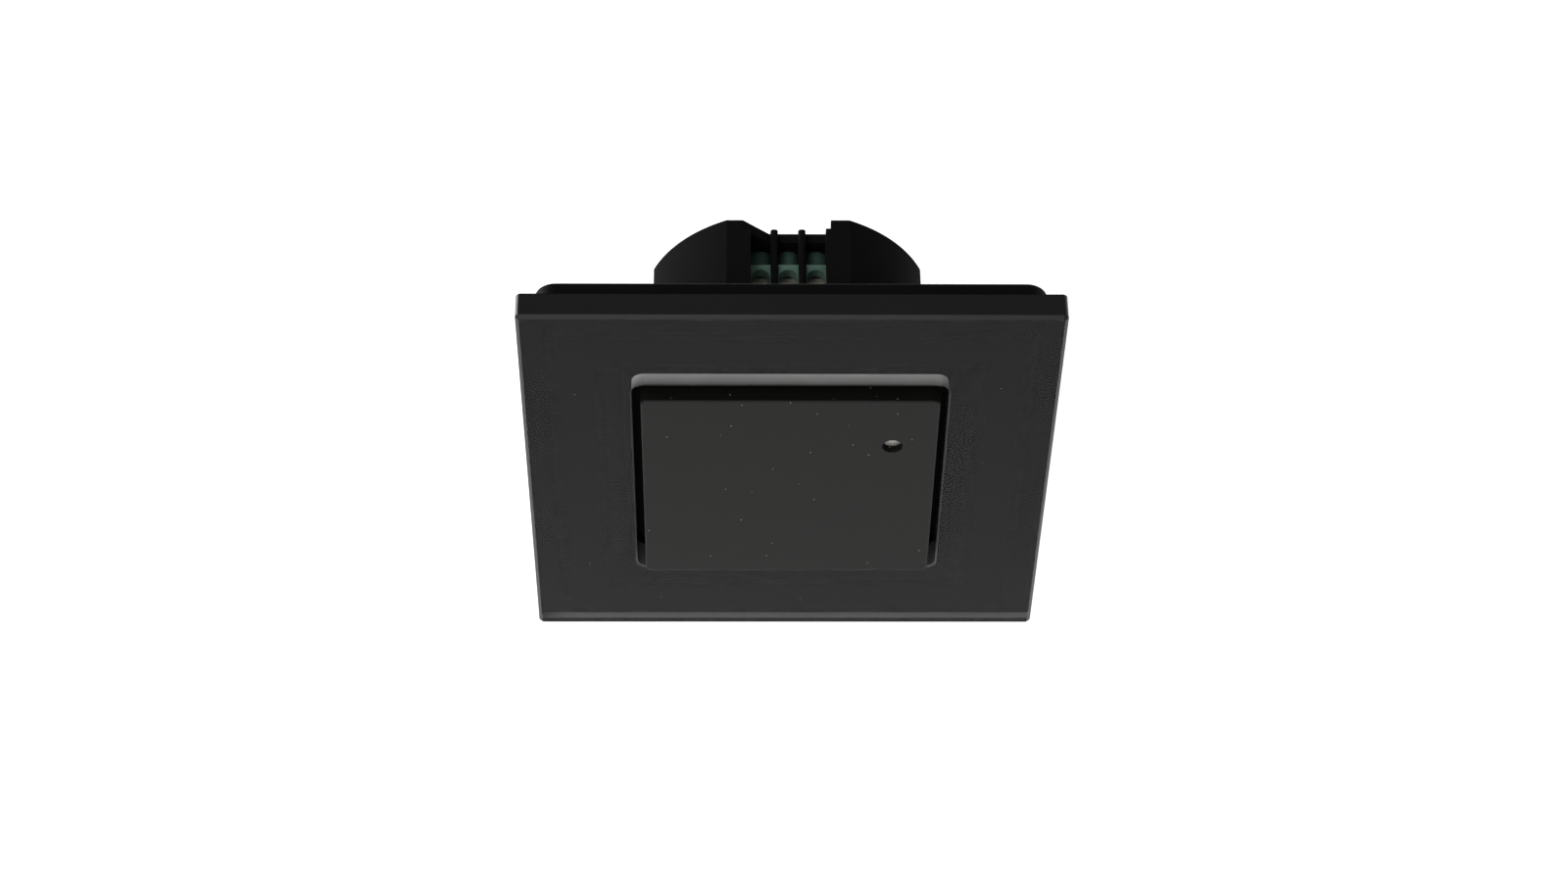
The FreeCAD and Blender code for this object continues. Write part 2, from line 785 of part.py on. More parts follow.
def make_panel_carrier():
    body = new_body("panel_carrier")
    face_back = carrier_front + size.carrier_face
    inside = (carrier_half - size.carrier_wall) * 2
    inner_corner = size.carrier_corner - size.carrier_wall
    rim_outside = rim_half * 2 + size.rim_wall * 2
    pad(body, "Frame", "XZ", lambda s: square(s, carrier_half * 2, size.carrier_corner), carrier_front, zero)
    cut(body, "Hollow", "XZ", lambda s: square(s, inside, inner_corner), face_back, zero)
    pad(body, "Rim", "XZ", lambda s: square(s, rim_outside, size.opening_corner + size.rim_wall),
        face_back, face_back + size.rim_depth)
    opening = cut(body, "Opening", "XZ", lambda s: square(s, rim_half * 2, size.opening_corner),
                  carrier_front, face_back + size.rim_depth)
    wall_middle = carrier_half - size.carrier_wall / 2
    rear = edges_where(opening, lambda p, b: flat_at(b, zero) and beyond(p, wall_middle))
    dress(body, "Fillet", "RearEdge", opening, rear, size.carrier_edge)
    ribs = []
    for index, place in enumerate((-1, 0, 1)):
        sides = about(size.stiffener_pitch * place, size.stiffener_thickness)
        ribs.append(pad(
            body, f"Stiffener{index}", "XZ",
            lambda s, w=sides: rectangle(s, *w, rim_outside / 2, inside / 2),
            face_back, face_back + size.stiffener_depth))
    around(body, "Stiffeners", ribs, 4)
    side = carrier_half - size.prong_inset
    prongs = []
    for index, height in enumerate(about(zero, size.prong_spread)):
        prongs.append(pad(
            body, f"Prong{index}", "XZ",
            lambda s, h=height: block_outline(s, side, h, size.prong_thickness, size.prong_width),
            face_back, -size.prong_end_gap))
    around(body, "Prongs", prongs, 2)


# Cover and light guide

def make_cover_plate():
    body = new_body("cover_plate")
    skirt_end = tray_front - size.cover_seat_gap
    inside = size.cover_width - size.cover_wall * 2
    shell = pad(body, "Block", "XZ", lambda s: square(s, size.cover_width, size.cover_corner),
                cover_front, skirt_end)
    edge = edges_where(shell, lambda p, b: flat_at(b, cover_front))
    dress(body, "Fillet", "FrontEdge", shell, edge, size.cover_edge)
    cut(body, "Hollow", "XZ", lambda s: rounded(s, zero, zero, inside, inside, size.tray_corner),
        cover_inside, skirt_end)
    cut(body, "LensHole", "XZ", lambda s: circle(s, lens_side, lens_height, size.lens_hole_radius),
        cover_front, cover_inside)
    side = cover_half - size.cover_wall + size.latch_thickness / 2
    latches = []
    for index, height in enumerate(about(zero, size.latch_spread)):
        latches.append(pad(
            body, f"Latch{index}", "XZ",
            lambda s, h=height: block_outline(s, side, h, size.latch_thickness, size.latch_width),
            skirt_end, skirt_end + size.latch_reach))
    around(body, "Latches", latches, 2)


def make_sensor_lens():
    body = new_body("sensor_lens")
    radius = size.lens_hole_radius - size.lens_clearance
    tip = cover_front + size.lens_recess
    flange_back = cover_inside + size.lens_flange_thickness
    turned(body, "Guide", "XY", lambda s: domed(s, radius, tip + size.lens_dome, tip, [
        (radius, cover_inside),
        (size.lens_flange_radius, cover_inside),
        (size.lens_flange_radius, flange_back),
        (zero, flange_back),
    ]))
    body.setExpression("Placement.Base.x", lens_side.text)
    body.setExpression("Placement.Base.z", lens_height.text)


# Mounting plate

def make_mounting_plate():
    body = new_body("mounting_plate")
    reach = size.wall_screw_spacing / 2
    pad(body, "Blank", "XZ", lambda s: square(s, plate_half * 2, size.plate_corner), plate_front, zero)
    gap = size.drum_clearance
    cut(body, "DrumOpening", "XZ", lambda s: drum_outline(
        s, drum_radius + gap, drum_side + gap, drum_top + gap), plate_front, zero)
    level = cut(body, "Slot", "XZ", lambda s: slot(s, reach, zero, size.slot_length, size.slot_width, False),
                plate_front, zero)
    around(body, "Slots", [level], 4)
    side = carrier_half - size.prong_inset
    window_width = size.prong_thickness + size.prong_clearance * 2
    window_height = size.prong_width + size.prong_clearance * 2
    windows = []
    for index, height in enumerate(about(zero, size.prong_spread)):
        windows.append(cut(body, f"Window{index}", "XZ", lambda s, h=height: block_outline(
            s, side, h, window_width, window_height), plate_front, zero))
    around(body, "Windows", windows, 2)
    tapped = cut(body, "TappedHole", "XZ", lambda s: circle(
        s, screw_place, screw_place, size.screw_radius + size.thread_clearance),
        plate_front, zero)
    around(body, "TappedHoles", [tapped], 4)
    bead_line = plate_half - size.bead_edge_distance
    beads = [cut(body, f"Bead{index}", "XZ", lambda s, k=side: slot(
        s, size.bead_side * k, bead_line, size.bead_length, size.bead_width, False), -size.bead_depth, zero)
        for index, side in enumerate((-1, 1))]
    around(body, "Beads", beads, 2)


# Drum

def pole_place(index):
    """The middle of one of the three poles, counted -1, 0 and 1 from the left."""
    return size.pole_pitch * index


def make_rear_housing():
    body = new_body("rear_housing")
    pad(body, "Flange", "XZ", lambda s: square(s, flange_half * 2, size.flange_corner),
        flange_front, plate_front)
    drum = pad(body, "Drum", "XZ", lambda s: drum_outline(s, drum_radius, drum_side, drum_top),
               plate_front, size.drum_depth)
    rear = edges_where(drum, lambda p, b: flat_at(b, size.drum_depth))
    dress(body, "Chamfer", "RearEdge", drum, rear, size.drum_edge)
    cut(body, "Cavity", "XZ", lambda s: drum_outline(s, cavity_radius, cavity_side, cavity_top),
        flange_front, drum_inside)
    cut_terminal_bay(body)
    add_bay_walls(body)
    add_board_bosses(body)
    hole = cut(body, "FlangeHole", "XZ", lambda s: circle(
        s, screw_place, screw_place, size.screw_hole_radius), flange_front, plate_front)
    around(body, "FlangeHoles", [hole], 4)


def cut_terminal_bay(body):
    """The bay through the top wall, the notch in the rear wall and the three screwdriver holes."""
    over = drum_top + size.drum_wall
    cut(body, "Bay", "XY", lambda s: rectangle(s, -bay_half, bay_half, bay_front, drum_inside),
        cavity_top - size.drum_wall, over)
    slope = -bay_half - size.notch_slope_reach
    side = bay_half + size.bay_wall
    step = bay_half + size.notch_step
    cut(body, "RearNotch", "XZ", lambda s: polygon(s, [
        (slope, over),
        (slope, drum_top),
        (slope + size.notch_slope_width, notch_floor),
        (step, notch_floor),
        (step, divider_top),
        (side, divider_top),
        (side, over),
    ]), drum_inside, size.drum_depth)
    for index in POLES:
        cut(body, f"DriverHole{index + 2}", "XZ", lambda s, i=index: circle(
            s, pole_place(i), tower_height, size.driver_hole_radius), drum_inside, size.drum_depth)


def add_bay_walls(body):
    """The walls round the bay and the two ribs that part the three wires."""
    over_shoulder = shoulder_top + size.bay_clearance
    over_tower = block_top + size.bay_clearance
    step = shoulder_back + size.bay_clearance
    wall_high = cavity_top + size.drum_wall / 2
    wall_front = bay_front - size.bay_wall
    wall_back = drum_inside + size.drum_edge
    outside = bay_half + size.bay_wall
    for name, low in (("BayLeftWall", -outside), ("BayRightWall", bay_half)):
        pad(body, name, "YZ", lambda s: stepped(
            s, wall_front, step, wall_back, over_shoulder, over_tower, wall_high), low, low + size.bay_wall)
    pad(body, "BayFrontWall", "XZ", lambda s: rectangle(s, -outside, outside, over_shoulder, wall_high),
        wall_front, bay_front)
    rib_front = bay_front - size.bay_wall / 2
    rib_back = size.drum_depth - size.drum_edge
    for name, side in (("LeftDivider", -1), ("RightDivider", 1)):
        low = size.pole_pitch / 2 * side - size.divider_thickness / 2
        rib = pad(body, name, "YZ", lambda s: stepped(
            s, rib_front, step, rib_back, over_shoulder, over_tower, divider_top),
            low, low + size.divider_thickness)
        crown = edges_where(rib, lambda p, b, x=low: is_rib_crown(p, b, x))
        dress(body, "Fillet", name + "Crown", rib, crown, size.divider_round)


def stepped(sketch, front, step, back, low_front, low_back, high):
    """The side of a wall whose foot drops behind a step."""
    polygon(sketch, [(front, low_front), (step, low_front), (step, low_back), (back, low_back),
                     (back, high), (front, high)])


def is_rib_crown(middle, bounds, left):
    """Whether an edge is one of the two long top edges of the rib whose left side is here."""
    at_top = abs(middle.z - plain(divider_top)) < NEAR
    at_side = any(abs(middle.x - plain(side)) < NEAR for side in (left, left + size.divider_thickness))
    return at_top and at_side and bounds.YLength > plain(size.divider_thickness)


def add_board_bosses(body):
    """Two posts from the rear wall that the power board is screwed to."""
    for name, side in (("LeftBoss", -1), ("RightBoss", 1)):
        x = boss_place * side
        pad(body, name, "XZ", lambda s: circle(s, x, -boss_place, size.boss_radius), power_back, drum_inside)
        cut(body, name + "Pilot", "XZ", lambda s: circle(s, x, -boss_place, size.boss_pilot_radius),
            power_back, power_back + size.boss_pilot_depth)


# Tray and its screws

def make_sensor_chassis():
    body = new_body("sensor_chassis")
    wall_inside = tray_half - size.tray_wall
    pad(body, "Floor", "XZ", lambda s: square(s, flange_half * 2, size.flange_corner),
        tray_front, flange_front)
    pad(body, "Walls", "XZ", lambda s: square(s, tray_half * 2, size.tray_corner + size.tray_wall),
        tray_rim, tray_front)
    cut(body, "Hollow", "XZ", lambda s: square(s, wall_inside * 2, size.tray_corner), tray_rim, tray_front)
    corner = tray_half - size.tray_notch / 2 + size.tray_corner
    notch = cut(body, "Notch", "XZ", lambda s: block_outline(
        s, corner, corner, size.tray_notch + size.tray_corner * 2, size.tray_notch + size.tray_corner * 2),
        tray_rim, tray_front)
    around(body, "Notches", [notch], 4)
    inner = tray_half - size.tray_notch
    screen = pad(body, "NotchWall", "XZ", lambda s: polygon(s, [
        (inner - size.tray_wall, inner - size.tray_wall),
        (wall_inside, inner - size.tray_wall),
        (wall_inside, inner),
        (inner, inner),
        (inner, wall_inside),
        (inner - size.tray_wall, wall_inside),
    ]), tray_rim, tray_front)
    around(body, "NotchWalls", [screen], 4)
    hole = cut(body, "ScrewHole", "XZ", lambda s: circle(
        s, screw_place, screw_place, size.screw_hole_radius), tray_front, flange_front)
    around(body, "ScrewHoles", [hole], 4)
    post_place = size.board_post_spacing / 2
    post = pad(body, "Post", "XZ", lambda s: circle(s, post_place, post_place, size.board_post_radius),
               board_back, tray_front)
    around(body, "Posts", [post], 4)
    cut(body, "LinkWindow", "XZ", lambda s: block_outline(
        s, zero, link_height, size.link_width + size.link_window_gap * 2,
        size.link_height + size.link_window_gap * 2), tray_front, flange_front)
    side = cover_half - size.cover_wall + size.latch_thickness / 2
    slot_width = size.latch_thickness + size.latch_clearance * 2
    slot_height = size.latch_width + size.latch_clearance * 2
    slots = []
    for index, height in enumerate(about(zero, size.latch_spread)):
        slots.append(cut(body, f"LatchSlot{index}", "XZ", lambda s, h=height: block_outline(
            s, side, h, slot_width, slot_height), tray_front, flange_front))
    around(body, "LatchSlots", slots, 2)


def make_housing_screws():
    """Four pan-head screws, with crossed slots, through tray and drum flange into the plate."""
    items = []
    head_front = tray_front - size.screw_head_height
    for across, up in ((-1, -1), (-1, 1), (1, -1), (1, 1)):
        x, z = screw_place * across, screw_place * up
        tag = f"{across + 1}{up + 1}"
        head = rod("ScrewHead" + tag, size.screw_head_radius, x, z, head_front, tray_front)
        shank = rod("ScrewShank" + tag, size.screw_radius, x, z, tray_front, -size.screw_end_gap)
        solid = joined("Screw" + tag, [head, shank])
        items.append(less("SlottedScrew" + tag, solid, crossed_slots(
            "ScrewSlots" + tag, x, z, head_front, size.screw_head_radius)))
    named(group("HousingScrews", items), "housing_screws")


def crossed_slots(name, x, z, front, radius):
    """Two crossed bars that cut a driver's recess into a screw head which faces the front."""
    long, wide = radius * size.screw_slot_share, size.screw_slot_width
    back = front + size.screw_slot_depth
    start = front - size.screw_slot_depth
    first = box(name + "A", about(x, long), (start, back), about(z, wide))
    second = box(name + "B", about(x, wide), (start, back), about(z, long))
    return joined(name, [first, second])


# Sensor board and its components

def make_sensor_board():
    body = new_body("sensor_board")
    pad(body, "Board", "XZ", lambda s: square(s, board_half * 2, size.tray_corner), board_front, board_back)
    inner = tray_half - size.tray_notch - size.tray_wall - size.board_gap
    outer = board_half + size.tray_corner
    notch = cut(body, "Notch", "XZ", lambda s: rectangle(s, inner, outer, inner, outer),
                board_front, board_back)
    around(body, "Notches", [notch], 4)
    cut(body, "ShieldWindow", "XZ", lambda s: block_outline(
        s, radar_side, radar_middle, size.shield_width + size.shield_clearance * 2,
        size.shield_height + size.shield_clearance * 2), board_front, board_back)


def make_radar_module():
    x, z = radar_side, radar_middle
    body = new_body("radar_board")
    pad(body, "Board", "XZ", lambda s: block_outline(s, x, z, size.radar_width, size.radar_height),
        radar_front, radar_back)
    shield = box("ShieldCan", about(x, size.shield_width), (radar_back, radar_back + size.shield_depth),
                 about(z, size.shield_height))
    named(shield, "radar_shield")
    foot = z - size.radar_height / 2 + size.header_height
    header = box("HeaderStrip", about(x, size.header_width), (radar_back, board_front),
                 about(foot, size.header_height))
    named(header, "radar_header")
    make_antenna(x, z)


def make_antenna(x, z):
    """Two copper patches joined by one feed line, on the front of the radar board."""
    body = new_body("radar_antenna")
    start = radar_front - size.copper_thickness
    offset = (size.patch_width + size.patch_gap) / 2
    lift = z + size.feed_drop / 2
    low = lift - size.patch_height / 2
    edge_left, edge_right = x - offset - size.patch_width / 2, x + offset + size.patch_width / 2
    line_low = low - size.feed_drop
    inner = size.patch_gap / 2
    left_feed, right_feed = x - offset, x + offset
    half = size.feed_width / 2
    pad(body, "Copper", "XZ", lambda s: polygon(s, [
        (edge_left, low), (left_feed - half, low), (left_feed - half, line_low),
        (right_feed + half, line_low), (right_feed + half, low), (edge_right, low),
        (edge_right, low + size.patch_height), (x + inner, low + size.patch_height), (x + inner, low),
        (right_feed - half, low), (right_feed - half, line_low + size.feed_width),
        (left_feed + half, line_low + size.feed_width), (left_feed + half, low), (x - inner, low),
        (x - inner, low + size.patch_height), (edge_left, low + size.patch_height),
    ]), start, radar_front)


def make_board_components():
    processor = box("Processor", about(processor_side, size.processor_width),
                    (board_front - size.processor_thickness, board_front),
                    about(processor_height, size.processor_width))
    named(processor, "microcontroller")
    chips = []
    for column in range(CHIP_COLUMNS):
        for line, z in enumerate(about(processor_height, size.chip_pitch)):
            x = processor_side + size.chip_distance + size.chip_pitch * column
            chips.append(box(f"Chip{column}{line}", about(x, size.chip_width),
                             (board_front - size.chip_thickness, board_front), about(z, size.chip_height)))
    named(group("Chips", chips), "sensor_chips")
    body = new_body("light_sensor")
    tip = board_front - size.sensor_depth
    radius = size.sensor_radius
    turned(body, "Sensor", "XY", lambda s: domed(s, radius, tip + size.sensor_dome, tip, [
        (radius, board_front),
        (zero, board_front),
    ]))
    body.setExpression("Placement.Base.x", lens_side.text)
    body.setExpression("Placement.Base.z", lens_height.text)
    led = box("Led", about(lens_side - size.led_distance, size.led_width),
              (board_front - size.led_thickness, board_front), about(lens_height, size.led_width / 2))
    named(led, "indicator_led")


def trimmer_height(index):
    """The height of one of the three trimmers, counted from the top."""
    return trimmer_low + size.trimmer_pitch * (TRIMMERS - 1 - index)


def make_trimmers():
    front = board_front - size.trimmer_depth
    bodies = []
    for index in range(TRIMMERS):
        z = trimmer_height(index)
        shell = box(f"TrimmerShell{index}", about(trimmer_side, size.trimmer_width), (front, board_front),
                    about(z, size.trimmer_width))
        bore = rod(f"TrimmerBore{index}", size.rotor_stub_radius + size.rotor_clearance, trimmer_side, z,
                   front, front + size.rotor_stub_depth + size.rotor_clearance)
        bodies.append(less(f"Trimmer{index}", shell, bore))
    named(group("TrimmerBodies", bodies), "trimmer_bodies")
    for index in range(TRIMMERS):
        make_trimmer_rotor(index, front - size.rotor_clearance)


def make_trimmer_rotor(index, seat):
    """The disc that a screwdriver turns, with the stub that it turns on."""
    body = new_body(f"trimmer_rotor_{index + 1}")
    x, z = trimmer_side, trimmer_height(index)
    top = seat - size.rotor_height
    pad(body, "Stub", "XZ", lambda s: circle(s, zero, zero, size.rotor_stub_radius), top,
        seat + size.rotor_stub_depth)
    pad(body, "Disc", "XZ", lambda s: circle(s, zero, zero, size.rotor_radius), top, seat)
    cut(body, "DriverSlot", "XZ", lambda s: block_outline(
        s, zero, zero, size.rotor_slot_width, size.rotor_slot_length), top, top + size.rotor_slot_depth)
    body.setExpression("Placement.Base.x", x.text)
    body.setExpression("Placement.Base.z", z.text)


# Connector between the boards

def make_link():
    socket_back = board_back + size.link_socket_depth
    socket = box("LinkSocket", about(zero, size.link_width), (board_back, socket_back),
                 about(link_height, size.link_height))
    named(socket, "link_socket")
    strip_front = power_front - size.link_strip_depth
    parts = [box("LinkStrip", about(zero, size.link_width), (strip_front, power_front),
                 about(link_height, size.link_height))]
    for index in range(LINK_PINS):
        x = size.link_pitch * (index - (LINK_PINS - 1) / 2)
        parts.append(box(f"LinkPin{index}", about(x, size.link_pin_width), (socket_back, strip_front),
                         about(link_height, size.link_pin_width)))
    named(joined("LinkHeader", parts), "link_header")


# Power board and its components

def make_power_board():
    body = new_body("power_board")
    gap = size.power_board_gap
    pad(body, "Board", "XZ", lambda s: drum_outline(
        s, cavity_radius - gap, cavity_side - gap, cavity_top - gap), power_front, power_back)
    for name, side in (("LeftHole", -1), ("RightHole", 1)):
        cut(body, name, "XZ", lambda s, k=side: circle(
            s, boss_place * k, -boss_place, size.board_screw_radius + size.thread_clearance),
            power_front, power_back)
    pin_height = bar_bottom + size.bar_pin_width / 2
    for index in POLES:
        cut(body, f"PinHole{index + 2}", "XZ", lambda s, i=index: circle(
            s, pole_place(i), pin_height, size.bar_pin_width), power_front, power_back)


def make_board_screws():
    items = []
    for side in (-1, 1):
        x, z = boss_place * side, -boss_place
        head_front = power_front - size.board_screw_head_height
        head = rod(f"BoardScrewHead{side + 1}", size.board_screw_head_radius, x, z, head_front, power_front)
        shank = rod(f"BoardScrewShank{side + 1}", size.board_screw_radius, x, z, power_front,
                    power_front + size.board_screw_length)
        solid = joined(f"BoardScrew{side + 1}", [head, shank])
        items.append(less(f"SlottedBoardScrew{side + 1}", solid, crossed_slots(
            f"BoardScrewSlots{side + 1}", x, z, head_front, size.board_screw_head_radius)))
    named(group("BoardScrews", items), "board_screws")


def make_rounded_block(name, x, y, z, edge):
    """A moulded block with rounded edges."""
    base = box(name + "Block", x, y, z)
    doc.recompute()
    item = doc.addObject("Part::Fillet", name + "Rounded")
    item.Base = base
    limit = plain(edge)
    item.Edges = [(index, limit, limit) for index in range(1, len(base.Shape.Edges) + 1)]
    return named(item, name)


def make_can(name, x, z, radius, length):
    """An electrolytic capacitor: a round can with its rim drawn in."""
    body = new_body(name)
    front = power_front - length
    edge = size.can_edge
    inner = radius - edge
    groove = power_front - size.can_groove_distance
    turned(body, "Can", "XY", lambda s: polygon(s, [
        (zero, power_front), (inner, power_front), (radius, power_front - edge),
        (radius, groove + edge), (inner, groove), (radius, groove - edge),
        (radius, front + edge), (inner, front), (zero, front)]))
    body.setExpression("Placement.Base.x", x.text)
    body.setExpression("Placement.Base.z", z.text)


def make_transformer():
    x, z = size.core_side, -size.core_drop
    core_back = power_front - size.bobbin_depth
    core_front = flange_front + size.core_clearance
    window = (size.core_width - size.core_leg * 3) / 2
    shift = (size.core_leg + window) / 2
    body = new_body("transformer_core")
    pad(body, "Core", "XZ", lambda s: block_outline(s, x, z, size.core_width, size.core_height),
        core_front, core_back)
    for name, side in (("LeftWindow", -1), ("RightWindow", 1)):
        middle = x + shift * side
        cut(body, name, "XY", lambda s, m=middle: rectangle(
            s, *about(m, window), core_front + size.core_leg, core_back - size.core_leg),
            z - size.core_height / 2, z + size.core_height / 2)
    bore_width = size.core_leg + size.winding_gap * 2
    bore_height = size.core_height + size.winding_gap * 2
    coil_width = bore_width + size.winding_wall * 2
    coil_height = bore_height + size.winding_wall * 2
    coil = new_body("transformer_winding")
    coil_front = core_front + size.core_leg + size.winding_gap
    coil_back = core_back - size.core_leg
    pad(coil, "Coil", "XZ", lambda s: rounded(s, x, z, coil_width, coil_height, size.winding_corner),
        coil_front, coil_back)
    cut(coil, "CoilBore", "XZ", lambda s: block_outline(s, x, z, bore_width, bore_height),
        coil_front, coil_back)
    base = box("BobbinBase", about(x, size.core_width), (core_back, power_front),
               about(z, size.bobbin_height))
    named(base, "transformer_bobbin")


def make_power_components():
    make_rounded_block("relay", about(zero, size.relay_width),
                       (power_back, drum_inside - size.relay_clearance),
                       about(-size.relay_drop, size.relay_height), size.relay_edge)
    film_middle = size.film_edge_distance + size.film_height / 2 + size.power_board_gap - cavity_top
    make_rounded_block("film_capacitor", about(zero, size.film_width),
                       (power_back, drum_inside - size.film_clearance),
                       about(film_middle, size.film_height), size.relay_edge)
    make_varistor()
    make_fuse()
    bulk_length = power_front - flange_front - size.bulk_clearance
    make_can("bulk_capacitor", size.bulk_side, size.bulk_lift, size.bulk_radius, bulk_length)
    make_can("output_capacitor", size.output_side, -size.output_drop, size.output_radius, size.output_length)
    bridge = box("Bridge", about(size.bridge_side, size.bridge_width),
                 (power_front - size.bridge_thickness, power_front),
                 about(-size.bridge_drop, size.bridge_height))
    named(bridge, "bridge_rectifier")


def make_varistor():
    """A coated disc that stands on its two leads."""
    centre = power_back + size.varistor_lift + size.varistor_radius
    disc = doc.addObject("Part::Cylinder", "VaristorDisc")
    bind(disc, "Radius", size.varistor_radius)
    bind(disc, "Height", size.varistor_thickness)
    disc.Placement.Rotation = FreeCAD.Rotation(FreeCAD.Vector(0, 1, 0), 90)
    disc.setExpression("Placement.Base.x", (-size.varistor_side).text)
    disc.setExpression("Placement.Base.y", centre.text)
    middle = -size.varistor_side + size.varistor_thickness / 2
    leads = [rod(f"VaristorLead{side + 1}", size.lead_radius, middle, size.varistor_radius / 2 * side,
                 power_back, centre) for side in (-1, 1)]
    named(joined("Varistor", [disc] + leads), "varistor")


def make_fuse():
    """A round fuse resistor that lies on the board, along Z."""
    item = doc.addObject("Part::Cylinder", "FuseBody")
    bind(item, "Radius", size.fuse_radius)
    bind(item, "Height", size.fuse_length)
    item.setExpression("Placement.Base.x", size.fuse_side.text)
    item.setExpression("Placement.Base.y", (power_back + size.fuse_radius).text)
    item.setExpression("Placement.Base.z", (-size.fuse_length / 2).text)
    named(item, "fuse_resistor")


# Terminal block

def make_terminal_block():
    """Three poles side by side: a base, a raised shoulder with the wire entry, and a round screw tower."""
    body = new_body("terminal_block")
    half = size.pole_pitch + size.block_margin
    pad(body, "Base", "XZ", lambda s: rectangle(s, -half, half, block_floor, block_top),
        power_back, shoulder_back)
    pad(body, "RearBase", "XZ", lambda s: rectangle(s, -half, half, block_floor, tower_height),
        shoulder_back, block_back)
    for index in POLES:
        add_pole(body, index)
    for index in POLES:
        hollow_pole(body, index)


def add_pole(body, index):
    """The shoulder and the tower of one pole."""
    x = pole_place(index)
    tag = str(index + 2)
    width = size.pole_pitch - size.pole_groove
    shoulder = pad(body, "Shoulder" + tag, "XZ", lambda s: block_outline(
        s, x, (block_top + shoulder_top) / 2, width, shoulder_top - block_top), power_back, shoulder_back)
    top = plain(shoulder_top)
    edge = edges_where(shoulder, lambda p, b: flat_at(b, shoulder_back) and abs(p.z - top) < NEAR)
    dress(body, "Fillet", "ShoulderRound" + tag, shoulder, edge, size.shoulder_round)
    pad(body, "Tower" + tag, "XZ", lambda s: circle(s, x, tower_height, size.tower_radius),
        shoulder_back, block_back)


def hollow_pole(body, index):
    """The wire entry, the clamp's pocket, the screw's bore and the slot for the contact bar of one pole."""
    x = pole_place(index)
    tag = str(index + 2)
    half = size.entry_width / 2
    entry_floor = drum_top - size.entry_floor_drop
    spring = entry_front + size.entry_rise - half
    cut(body, "Entry" + tag, "XY", lambda s: arch(s, x, half, entry_front, spring), entry_floor, shoulder_top)
    pocket_width = size.clamp_width + size.pocket_gap * 2
    cut(body, "Pocket" + tag, "XZ", lambda s: rectangle(
        s, *about(x, pocket_width), clamp_bottom - size.pocket_gap, clamp_top + size.pocket_gap),
        entry_front, pocket_back)
    head_seat = pocket_back + size.collar_thickness
    gap = size.terminal_bore_clearance
    cut(body, "HeadBore" + tag, "XZ", lambda s: circle(s, x, tower_height, size.terminal_head_radius + gap),
        head_seat, block_back)
    cut(body, "ScrewBore" + tag, "XZ", lambda s: circle(s, x, tower_height, size.terminal_screw_radius + gap),
        pocket_back, head_seat)
    cut(body, "BarSlot" + tag, "XZ", lambda s: rectangle(
        s, *about(x, size.bar_width + gap * 2), bar_bottom - gap, clamp_bottom), power_back, bar_back + gap)


def make_terminal_clamp(index):
    """A square ring that the screw pulls up, so that it grips the wire against the contact bar."""
    body = new_body(f"terminal_clamp_{index + 2}")
    x = pole_place(index)
    pad(body, "Ring", "XY", lambda s: rectangle(s, *about(x, size.clamp_width), clamp_front, clamp_back),
        clamp_bottom, clamp_top)
    inner = size.clamp_width - size.clamp_side_wall * 2
    roof_front = clamp_back - size.clamp_roof_wall
    bore = size.terminal_screw_radius + size.terminal_bore_clearance
    cut(body, "WireWay", "XY", lambda s: rectangle(
        s, *about(x, inner), clamp_front + size.clamp_floor_wall, roof_front), clamp_bottom, clamp_top)
    cut(body, "ThreadBore", "XZ", lambda s: circle(s, x, tower_height, bore), roof_front, clamp_back)


def make_terminal_screw(index):
    """The screw of one pole, with a slotted head that faces the back."""
    x = pole_place(index)
    z = tower_height
    head_seat = pocket_back + size.collar_thickness + size.terminal_head_gap
    head_back = head_seat + size.terminal_head_height
    tag = str(index + 2)
    tip = bar_back + size.bar_gap / 2
    head = rod("TerminalHead" + tag, size.terminal_head_radius, x, z, head_seat, head_back)
    shank = rod("TerminalShank" + tag, size.terminal_screw_radius, x, z, tip, head_seat)
    solid = joined("TerminalBolt" + tag, [head, shank])
    length = (size.terminal_head_radius + size.screw_slot_width) * 2
    groove = box("TerminalGroove" + tag, about(x, length),
                 (head_back - size.screw_slot_depth, head_back), about(z, size.screw_slot_width))
    named(less("TerminalScrew" + tag, solid, groove), f"terminal_screw_{tag}")


def make_contact_bars():
    """The fixed bars inside the clamps, each with a pin through the power board."""
    body = new_body("contact_bars")
    for index in POLES:
        x = pole_place(index)
        tag = str(index + 2)
        pad(body, "Bar" + tag, "XZ", lambda s, m=x: rectangle(
            s, *about(m, size.bar_width), bar_bottom, bar_top), bar_front, bar_back)
        pad(body, "Pin" + tag, "XZ", lambda s, m=x: rectangle(
            s, *about(m, size.bar_pin_width), bar_bottom, bar_bottom + size.bar_pin_width),
            power_front - size.bar_pin_reach, bar_front)


make_glass_panel()
make_panel_adhesive()
make_panel_carrier()
make_cover_plate()
make_sensor_lens()
make_mounting_plate()
make_rear_housing()
make_sensor_chassis()
make_housing_screws()
make_sensor_board()
make_radar_module()
make_board_components()
make_trimmers()
make_link()
make_power_board()
make_board_screws()
make_power_components()
make_transformer()
make_terminal_block()
for pole in POLES:
    make_terminal_clamp(pole)
    make_terminal_screw(pole)
make_contact_bars()
doc.recompute()

for item in doc.Objects:
    if "Invalid" in item.State or "Error" in item.State:
        raise RuntimeError(f"{item.Name} did not build: {item.State}")
os.makedirs("parts", exist_ok=True)
for piece in pieces:
    shape = piece.Shape
    if shape.isNull() or not shape.isValid():
        raise RuntimeError(f"{piece.Label} has no valid shape")
    shape.exportStep(f"parts/{piece.Label}.step")
    print(f"{piece.Label}: {len(shape.Solids)} solid(s), {shape.Volume:.2f} cubic mm")
